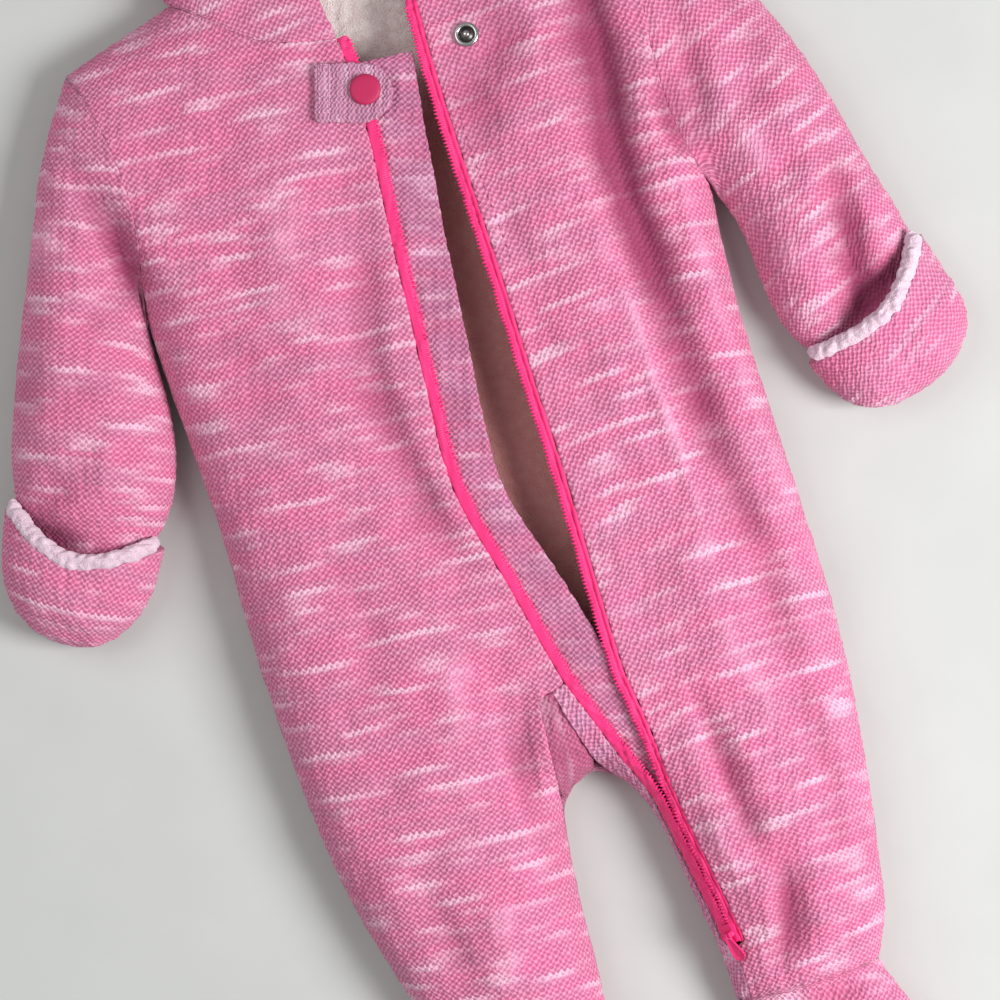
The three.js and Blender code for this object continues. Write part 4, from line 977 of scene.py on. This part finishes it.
class TopSurface:
    """The upper surface of some finished pieces, to lay small things on."""

    def __init__(self, pieces: list[bpy.types.Object]) -> None:
        """Reads the pieces.

        Args:
            pieces: the objects to lay things on.
        """
        self.trees = []
        for piece in pieces:
            mesh = piece.data
            polygons = [tuple(polygon.vertices) for polygon in mesh.polygons]
            self.trees.append(BVHTree.FromPolygons([v.co for v in mesh.vertices], polygons))

    def drop(self, x: float, y: float) -> tuple[Vector, Vector] | None:
        """Finds the topmost cloth below a place.

        Args:
            x: place across, in millimetres.
            y: place along, in millimetres.

        Returns:
            The point and its normal, in metres, or None where there is no cloth.
        """
        found = None
        for tree in self.trees:
            point, normal, _, _ = tree.ray_cast(Vector((x * MM, y * MM, 0.2)), Vector((0, 0, -1)))
            if point is not None and (found is None or point.z > found[0].z):
                found = (point, normal if normal.z > 0 else -normal)
        return found


def resample(points: list[tuple[float, float]], step: float) -> list[tuple[Vector, Vector]]:
    """Walks a line in equal steps.

    Args:
        points: the line, in millimetres.
        step: the distance between two places.

    Returns:
        Each place and the direction of the line there.
    """
    places = []
    carry = step / 2
    for start, end in zip(points, points[1:]):
        a, b = Vector(start), Vector(end)
        length = (b - a).length
        while carry < length:
            places.append((a + (b - a) * (carry / length), (b - a).normalized()))
            carry += step
        carry -= length
    return places


@dataclass
class StitchRun:
    """A run of stitches: short threads laid end to end on the cloth."""

    name: str
    points: list[tuple[float, float]]
    pitch: float = 3.0
    thread: float = 2.2  # mm of thread that shows of each stitch
    radius: float = 0.42
    sink: float = 0.12
    body: str = BODY

    def build(self, surface: TopSurface, material: bpy.types.Material) -> bpy.types.Object:
        """Lays the stitches on the cloth.

        Args:
            surface: the cloth below.
            material: the thread.

        Returns:
            One object with every stitch of the run.
        """
        bm = bmesh.new()
        for place, direction in resample(self.points, self.pitch):
            found = surface.drop(place.x, place.y)
            if found is None:
                continue
            point, normal = found
            seat = seat_matrix(point + normal * (self.radius - self.sink) * MM, normal, direction)
            made = bmesh.ops.create_uvsphere(bm, u_segments=8, v_segments=5, radius=self.radius * MM)
            stretch = Matrix.Diagonal((self.thread / 2 / self.radius, 1.0, 0.8, 1.0))
            bmesh.ops.transform(bm, matrix=seat @ stretch, verts=made["verts"])
        return finish_mesh(bm, self.name, material, self.body)


# The row that holds the facing beside the zip's left half, and the box that holds the tab.
FACING_STITCHES = StitchRun(
    "facing_stitches",
    [(37.0, 150.0), (35.6, 131.0), (35.9, 112.0), (37.4, 88.0), (38.7, 68.0), (39.0, 55.0)],
    pitch=5.2,
    thread=1.9,
    radius=0.36,
    sink=0.2,
)
TAB_STITCHES = StitchRun(
    "tab_stitches",
    [(-23.9, 177.2), (-18.9, 175.8), (-25.6, 152.6), (-30.6, 154.0), (-23.9, 177.2)],
    pitch=2.4,
    thread=1.7,
    radius=0.3,
)


def seat_matrix(point: Vector, normal: Vector, direction: Vector) -> Matrix:
    """A place on the cloth, with X along a direction and Z out of the cloth.

    Args:
        point: the place, in metres.
        normal: the cloth's normal there.
        direction: which way X runs, seen from above.

    Returns:
        The matrix that takes a part from the origin to the place.
    """
    flat = Vector((direction[0], direction[1], 0.0))
    x_axis = (flat - normal * flat.dot(normal)).normalized()
    y_axis = normal.cross(x_axis)
    turn = Matrix((x_axis, y_axis, normal)).transposed().to_4x4()
    return Matrix.Translation(point) @ turn


def finish_mesh(bm: bmesh.types.BMesh, name: str, material: bpy.types.Material, body: str) -> bpy.types.Object:
    """Turns a bmesh into a smooth-shaded piece that rides on a body.

    Args:
        bm: the mesh being made, which is freed.
        name: the piece's name.
        material: its finish.
        body: the body it moves with.

    Returns:
        The new object.
    """
    bmesh.ops.recalc_face_normals(bm, faces=bm.faces)
    mesh = bpy.data.meshes.new(name)
    bm.to_mesh(mesh)
    bm.free()
    mesh.shade_smooth()
    return place_object(name, mesh, material, body)


@dataclass
class TapePiece(ClothPiece):
    """A zip tape, folded to a round strip beside its teeth; the left one shows the groove of its fold."""

    side: Side = Side.RIGHT
    swell: float = 0.12
    crown: float = 0.55  # mm by which the strip is round
    groove: float = 1.1  # mm
    groove_at: float = 0.18  # share of the half width

    def shape(self, mesh: bpy.types.Mesh) -> None:
        """Follows the cloth's folds, then rounds the strip and sinks its groove."""
        points = vertex_array(mesh) / MM
        rows = np.arange(points[:, 1].min() + 1, points[:, 1].max() - 1, 3.0)
        ends = np.array([section(points, self.edges_of(mesh), row) for row in rows])
        low = np.interp(points[:, 1], rows, ends[:, 0])
        high = np.interp(points[:, 1], rows, ends[:, 1])
        share = np.clip((2 * points[:, 0] - low - high) / np.maximum(high - low, 0.5), -1, 1)
        up = np.clip(vertex_array(mesh, "normal")[:, 2] * 2, 0, 1)
        points[:, 2] += up * self.crown * (1 - share**4)
        if self.side is Side.LEFT:
            points[:, 2] -= up * self.groove * np.exp(-(((share - self.groove_at) / 0.17) ** 2))
        mesh.vertices.foreach_set("co", (points * MM).astype(np.float32).ravel())
        mesh.update()
        super().shape(mesh)

    @staticmethod
    def edges_of(mesh: bpy.types.Mesh) -> np.ndarray:
        """Reads the two ends of every edge, as rows of two."""
        ends = np.zeros(len(mesh.edges) * 2, np.int32)
        mesh.edges.foreach_get("vertices", ends)
        return ends.reshape(-1, 2)


def section(points: np.ndarray, edges: np.ndarray, y: float) -> tuple[float, float]:
    """Cuts a strip across at y and gives the lowest and highest x of the cut.

    Args:
        points: the strip's points, in millimetres.
        edges: the two ends of each edge.
        y: place along the suit, in millimetres.

    Returns:
        The two ends of the cut, in millimetres.
    """
    a, b = points[edges[:, 0]], points[edges[:, 1]]
    crossing = (a[:, 1] - y) * (b[:, 1] - y) < 0
    share = (y - a[crossing, 1]) / (b[crossing, 1] - a[crossing, 1])
    x = a[crossing, 0] + share * (b[crossing, 0] - a[crossing, 0])
    return float(x.min()), float(x.max())


@dataclass
class ZipHalf:
    """One half of the zip: its tape, and the teeth that stand out along the tape's inner edge."""

    side: Side
    flat: tuple[float, float]
    area: float
    pitch: float = 1.9
    tooth_length: float = 2.8
    tooth_width: float = 1.05
    tooth_height: float = 1.3
    inset: float = 1.1  # mm from the tape's inner edge to where a tooth is seated
    reach: float = 1.0  # mm by which a tooth is set outwards from its seat

    def build(self, frame: dict, finishes: Finishes) -> list[bpy.types.Object]:
        """Makes the tape and its teeth.

        Args:
            finishes: the suit's finishes.

        Returns:
            The tape and the teeth.
        """
        node = f"zip_tape_{self.side.value}"
        cut = TapePiece(node, "zip_tape", self.flat, self.area, levels=3, crease=0.4, side=self.side)
        tape = cut.build(frame, finishes.tape)
        points, edges = vertex_array(tape.data) / MM, TapePiece.edges_of(tape.data)
        rows = np.arange(points[:, 1].min() + 1.0, points[:, 1].max() - 1.5, 2.0)
        edge = [section(points, edges, row)[1 if self.side is Side.RIGHT else 0] for row in rows]
        line = [(x + self.side.sign * self.inset, y) for x, y in zip(edge, rows)]
        surface = TopSurface([tape])
        bm = bmesh.new()
        for place, direction in resample(line, self.pitch):
            found = surface.drop(place.x, place.y)
            if found is None:
                continue
            across = Vector((-direction.y, direction.x)) * self.side.sign
            seat = seat_matrix(found[0] + found[1] * 0.1 * MM, found[1], across)
            made = bmesh.ops.create_uvsphere(bm, u_segments=8, v_segments=5, radius=1 * MM)
            size = Matrix.Diagonal((self.tooth_length / 2, self.tooth_width / 2, self.tooth_height / 2, 1.0))
            out = Matrix.Translation((self.reach * MM, 0, -0.3 * MM))
            bmesh.ops.transform(bm, matrix=seat @ out @ size, verts=made["verts"])
        teeth = finish_mesh(bm, f"zip_teeth_{self.side.value}", finishes.teeth, BODY)
        return [tape, teeth]


def lie_of(node: bpy.types.Object) -> Matrix:
    """Where a flat, round part sits: at its middle, with Z along its thin way and pointing up.

    Args:
        node: the part's object.

    Returns:
        The matrix that takes a part from the origin to that seat, on the part's lowest face.
    """
    points = vertex_array(node.data)
    points = np.unique(np.round(points, 6), axis=0)
    centre = points.mean(axis=0)
    _, axes = np.linalg.eigh(np.cov((points - centre).T))
    normal = Vector(axes[:, 0])
    if normal.z < 0:
        normal = -normal
    heights = (points - centre) @ np.array(normal)
    base = Vector(centre) + normal * float(heights.min())
    return seat_matrix(base, normal, Vector((1, 0, 0)))


@dataclass
class SnapFastener:
    """The snap: a moulded cap on the tab, and the plated stud on the other front."""

    cap_radius: float = 7.75
    cap_height: float = 2.2
    stud_radius: float = 6.25
    stud_height: float = 3.2

    def build(self, frame: dict, finishes: Finishes) -> list[bpy.types.Object]:
        """Turns the cap, the stud's ring, its bed in nickel painted dark as shade, and its ball.

        Args:
            finishes: the suit's finishes.

        Returns:
            The pieces of the snap.
        """
        r, h = self.cap_radius, self.cap_height
        cap_profile = [
            (0.0, h), (r * 0.5, h - 0.04), (r * 0.8, h - 0.16), (r * 0.93, h - 0.5), (r * 0.99, h - 1.0),
            (r, 0.7), (r - 0.35, 0.15), (r - 1.2, 0.0), (0.0, 0.0),
        ]
        cap = self.turned("snap_cap_moulded", cap_profile, lie_of(frame["nodes"]["snap_cap"]), finishes.cap)
        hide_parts("snap_cap")
        seat = lie_of(frame["nodes"]["snap_stud"])
        s = self.stud_radius
        ring_profile = [
            (s - 2.5, 0.5), (s - 2.2, 1.15), (s - 1.6, 1.55), (s - 0.8, 1.5), (s - 0.15, 1.0), (s, 0.45),
            (s - 0.2, 0.0), (s - 2.5, 0.0),
        ]
        ring = self.turned("snap_stud_ring", [*ring_profile, ring_profile[0]], seat, finishes.plated)
        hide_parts("snap_stud")
        # The bed is a disc of nickel painted dark as the shade inside the ring.
        bed_profile = [(0.0, 0.75), (s - 2.6, 0.7), (s - 2.6, 0.05), (0.0, 0.05)]
        bed = self.turned("snap_stud_bed", bed_profile, seat, finishes.socket)
        top = self.stud_height
        ball_profile = [
            (0.0, top), (0.9, top - 0.12), (1.55, top - 0.6), (1.75, top - 1.2), (1.5, top - 1.8),
            (1.3, top - 2.2), (1.3, 0.4), (0.0, 0.4),
        ]
        ball = self.turned("snap_stud_ball", ball_profile, seat, finishes.plated)
        return [cap, ring, bed, ball]

    @staticmethod
    def turned(
        name: str, profile: list[tuple[float, float]], seat: Matrix, material: bpy.types.Material
    ) -> bpy.types.Object:
        """Spins a profile of radius and height into a round part.

        Args:
            name: the part's name.
            profile: radius and height of each point, in millimetres.
            seat: where the part sits.
            material: its finish.

        Returns:
            The new object.
        """
        bm = bmesh.new()
        verts = [bm.verts.new((radius * MM, 0.0, height * MM)) for radius, height in profile]
        edges = [bm.edges.new(pair) for pair in zip(verts, verts[1:])]
        bmesh.ops.spin(
            bm,
            geom=verts + edges,
            cent=(0, 0, 0),
            axis=(0, 0, 1),
            angle=math.tau,
            steps=48,
            use_merge=True,
        )
        bmesh.ops.remove_doubles(bm, verts=bm.verts, dist=0.005 * MM)
        bmesh.ops.transform(bm, matrix=seat, verts=bm.verts)
        return finish_mesh(bm, name, material, BODY)


@dataclass
class ZipPull:
    """The slider and its pull, with the edges of their castings softened."""

    soften: float = 0.28
    recess_inset: float = 1.15
    recess_depth: float = 0.85

    def build(self, frame: dict, finishes: Finishes) -> list[bpy.types.Object]:
        """Makes both castings.

        Args:
            finishes: the suit's finishes.

        Returns:
            The slider and the pull.
        """
        slider = self.casting(frame["nodes"]["zip_slider"], "zip_slider_cast", BODY, finishes.enamel, False)
        pull = self.casting(frame["nodes"]["zip_pull"], "zip_pull_cast", PULL_BODY, finishes.enamel, True)
        return [slider, pull]

    def casting(
        self, node: bpy.types.Object, name: str, body: str, material: bpy.types.Material, recessed: bool
    ) -> bpy.types.Object:
        """Copies a casting, sinks its face if asked and softens its edges.

        Args:
            node: the solid's object.
            name: the piece's name.
            body: the body it moves with.
            material: its finish.
            recessed: whether its widest upper face is sunk.

        Returns:
            The new object.
        """
        bm = bmesh.new()
        bm.from_mesh(node.data)
        bmesh.ops.remove_doubles(bm, verts=bm.verts, dist=0.005 * MM)
        bmesh.ops.dissolve_limit(bm, angle_limit=math.radians(2), verts=bm.verts, edges=bm.edges)
        if recessed:
            face = max((f for f in bm.faces if f.normal.z > 0.3), key=lambda f: f.calc_area())
            bmesh.ops.inset_region(
                bm, faces=[face], thickness=self.recess_inset * MM, depth=-self.recess_depth * MM, use_even_offset=True
            )
        sharp = [e for e in bm.edges if len(e.link_faces) == 2 and e.calc_face_angle(0) > math.radians(40)]
        bmesh.ops.bevel(
            bm,
            geom=sharp,
            offset=self.soften * MM,
            offset_type="OFFSET",
            segments=2,
            profile=0.5,
            affect="EDGES",
            clamp_overlap=True,
            material=-1,
        )
        mesh = bpy.data.meshes.new(name)
        bm.to_mesh(mesh)
        bm.free()
        drop_stored_normals(mesh)
        mesh.shade_smooth()
        mesh.set_sharp_from_angle(angle=math.radians(35))
        piece = place_object(name, mesh, material, body)
        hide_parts(node.name)
        return piece


@dataclass
class Suit:
    """The whole garment, from its cloth outwards."""

    pieces: dict[str, bpy.types.Object] = field(default_factory=dict)

    def cut_pieces(self) -> list[ClothPiece]:
        """Lists every piece in the outer knit, with its cut and the run of its courses."""
        right_sleeve, left_sleeve = Grain(slope=-0.4), Grain(slope=0.38)
        return [
            ClothPiece("back", "knit", (300, 562), 0.92, Grain(slope=-0.03), levels=2),
            ClothPiece("front_right", "knit", (165, 560), 0.78, Grain(slope=-0.09, zero=-60)),
            ClothPiece("front_left", "knit", (140, 560), 0.79, Grain(slope=0.15, bend=-0.0012, zero=30)),
            # The gusset carries painted fold shade all over.
            ClothPiece("gusset", "knit", (25, 55), 0.8, Grain(turned=True), fold_shade_depth=5.0),
            ClothPiece(
                "sleeve_right", "knit", (200, 250), 0.71, right_sleeve, own_folds=CUFF_HOLLOWS[Side.RIGHT]
            ),
            ClothPiece(
                "sleeve_left", "knit", (200, 250), 0.74, left_sleeve, own_folds=CUFF_HOLLOWS[Side.LEFT]
            ),
            ClothPiece("mitten_right", "knit", (150, 85), 0.73, Grain(slope=-0.55)),
            ClothPiece("mitten_left", "knit", (150, 85), 0.74, Grain(slope=0.6)),
            ClothPiece("foot_right", "knit", (180, 80), 0.88, Grain(slope=0.12)),
            ClothPiece("foot_left", "knit", (180, 80), 0.88, Grain(slope=-0.12)),
            ClothPiece("hood_right", "knit", (162, 215), 0.95, Grain(slope=0.1)),
            ClothPiece("hood_left", "knit", (160, 208), 0.95, Grain(slope=-0.1)),
        ]

    def band_pieces(self) -> list[ClothPiece]:
        """Lists the pieces in the paler knit."""
        return [
            ClothPiece("inner_leg_band", "band_knit", (18, 185), 0.68, Grain(slope=0.5)),
            # The placket carries a little painted fold shade all over.
            ClothPiece("placket", "band_knit", (36, 392), 0.88, Grain(slope=-0.27), fold_shade_depth=2.4),
            ClothPiece("snap_tab", "band_knit", (30, 42), 0.94, Grain(slope=-0.29, turned=True), crease=0.4),
        ]

    def pile_pieces(self) -> list[PilePiece]:
        """Lists the pieces of pile that show."""
        return [
            PilePiece(
                "mitten_edge_right", "sherpa_edge", (16, 82), 0.9, levels=4, crease=0.1,
                clump=5.4, height=0.65, swell=1.1,
            ),
            PilePiece(
                "mitten_edge_left", "sherpa_edge", (16, 82), 0.9, levels=4, crease=0.1,
                clump=5.4, height=0.65, swell=1.1,
            ),
            PilePiece("back_lining", "sherpa_lining", (237, 383), 0.95, crease=0.2, clump=5.0, height=0.7),
            PilePiece("hood_lining", "sherpa_lining", (168, 145), 0.96, crease=0.2, clump=5.0, height=0.7),
        ]

    def build(self, frame: dict, finishes: Finishes) -> None:
        """Makes the cloth, then what is sewn or fixed to it.

        Args:
            finishes: the suit's finishes.
        """
        for cut, material in (
            *((cut, finishes.knit) for cut in self.cut_pieces()),
            *(
                (cut, finishes.tab_knit if cut.node == "snap_tab" else finishes.band_knit)
                for cut in self.band_pieces()
            ),
        ):
            self.keep(cut.node, cut.build(frame, material))
        for pile in self.pile_pieces():
            edge = pile.slot == "sherpa_edge"
            plain = finishes.hood_pile if pile.node == "hood_lining" else finishes.lining_pile
            self.keep(pile.node, pile.build(frame, finishes.edge_pile if edge else plain))
        for half in (ZipHalf(Side.RIGHT, (10, 515), 0.7), ZipHalf(Side.LEFT, (10, 505), 0.7)):
            for piece in half.build(frame, finishes):
                self.keep(piece.name, piece)
        for piece in (*SnapFastener().build(frame, finishes), *ZipPull().build(frame, finishes)):
            self.keep(piece.name, piece)
        for run, node, thread in (
            (FACING_STITCHES, "front_left", finishes.thread),
            (TAB_STITCHES, "snap_tab", finishes.pale_thread),
        ):
            stitches = run.build(TopSurface([self.pieces[node]]), thread)
            self.keep(run.name, stitches)

    def keep(self, name: str, piece: bpy.types.Object) -> None:
        """Remembers a piece and reports it."""
        self.pieces[name] = piece
        LOG.info("%s: %d faces", piece.name, len(piece.data.polygons))


@dataclass
class Studio:
    """The plain floor, the soft lights and the camera straight above."""

    floor_size: float = 6000.0
    camera_height: float = 1500.0  # mm above the floor
    view_width: float = 500.0  # mm that the frame spans at the cloth's middle height
    cloth_height: float = 22.0
    turn: float = -17.0  # degrees by which the camera is turned
    aim: tuple[float, float] = (-1.05, -55.0)

    def build(self) -> None:
        """Makes the studio."""
        self.lay_floor()
        self.hang_lights()
        self.set_camera()

    def lay_floor(self) -> None:
        """Lays a pale, matt floor."""
        bm = bmesh.new()
        bmesh.ops.create_grid(bm, x_segments=1, y_segments=1, size=self.floor_size / 2 * MM)
        mesh = bpy.data.meshes.new("floor")
        bm.to_mesh(mesh)
        bm.free()
        floor = bpy.data.objects.new("floor", mesh)
        bpy.context.scene.collection.objects.link(floor)
        mesh.materials.append(PlainFinish("painted_board", "C2C3C0", "BBBCB9", 0.8, grain=40.0).make())

    def hang_lights(self) -> None:
        """Hangs a key light at the picture's lower right, a weak fill and a grey surround."""
        world = bpy.data.worlds.new("surround")
        world.use_nodes = True
        background = world.node_tree.nodes["Background"]
        background.inputs["Color"].default_value = linear("E6E8EA")
        background.inputs["Strength"].default_value = 0.41
        bpy.context.scene.world = world
        # The plain transform keeps the hot pink of the zip from fading.
        bpy.context.scene.view_settings.view_transform = "Standard"
        self.hang("key", (1.15, -0.6, 1.15), 0.75, 37.0)
        self.hang("fill", (-0.9, 0.6, 1.3), 1.2, 9.0)

    def hang(self, name: str, place: tuple[float, float, float], size: float, power: float) -> None:
        """Hangs one square light that faces the suit.

        Args:
            name: the light's name.
            place: where it hangs, in metres.
            size: its side, in metres.
            power: its power, in watts.
        """
        light = bpy.data.lights.new(name, "AREA")
        light.shape = "SQUARE"
        light.size = size
        light.energy = power
        holder = bpy.data.objects.new(name, light)
        holder.location = place
        towards = Vector((0.0, -0.05, 0.02)) - Vector(place)
        holder.rotation_euler = towards.to_track_quat("-Z", "Y").to_euler()
        bpy.context.scene.collection.objects.link(holder)

    def set_camera(self) -> None:
        """Sets the camera straight above, turned as the suit lies in the picture."""
        camera = bpy.data.cameras.new("camera")
        distance = self.camera_height - self.cloth_height
        camera.sensor_width = 36.0
        camera.lens = camera.sensor_width * distance / self.view_width
        holder = bpy.data.objects.new("camera", camera)
        holder.location = (self.aim[0] * MM, self.aim[1] * MM, self.camera_height * MM)
        holder.rotation_euler = (0.0, 0.0, math.radians(self.turn))
        bpy.context.scene.collection.objects.link(holder)
        bpy.context.scene.camera = holder


def main() -> None:
    """Builds the suit and its studio."""
    logging.basicConfig(level=logging.INFO, format="%(name)s: %(message)s")
    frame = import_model()
    finishes = Finishes.make()
    suit = Suit()
    suit.build(frame, finishes)
    Studio().build()
    bpy.context.view_layer.update()


if __name__ == "__main__":
    main()
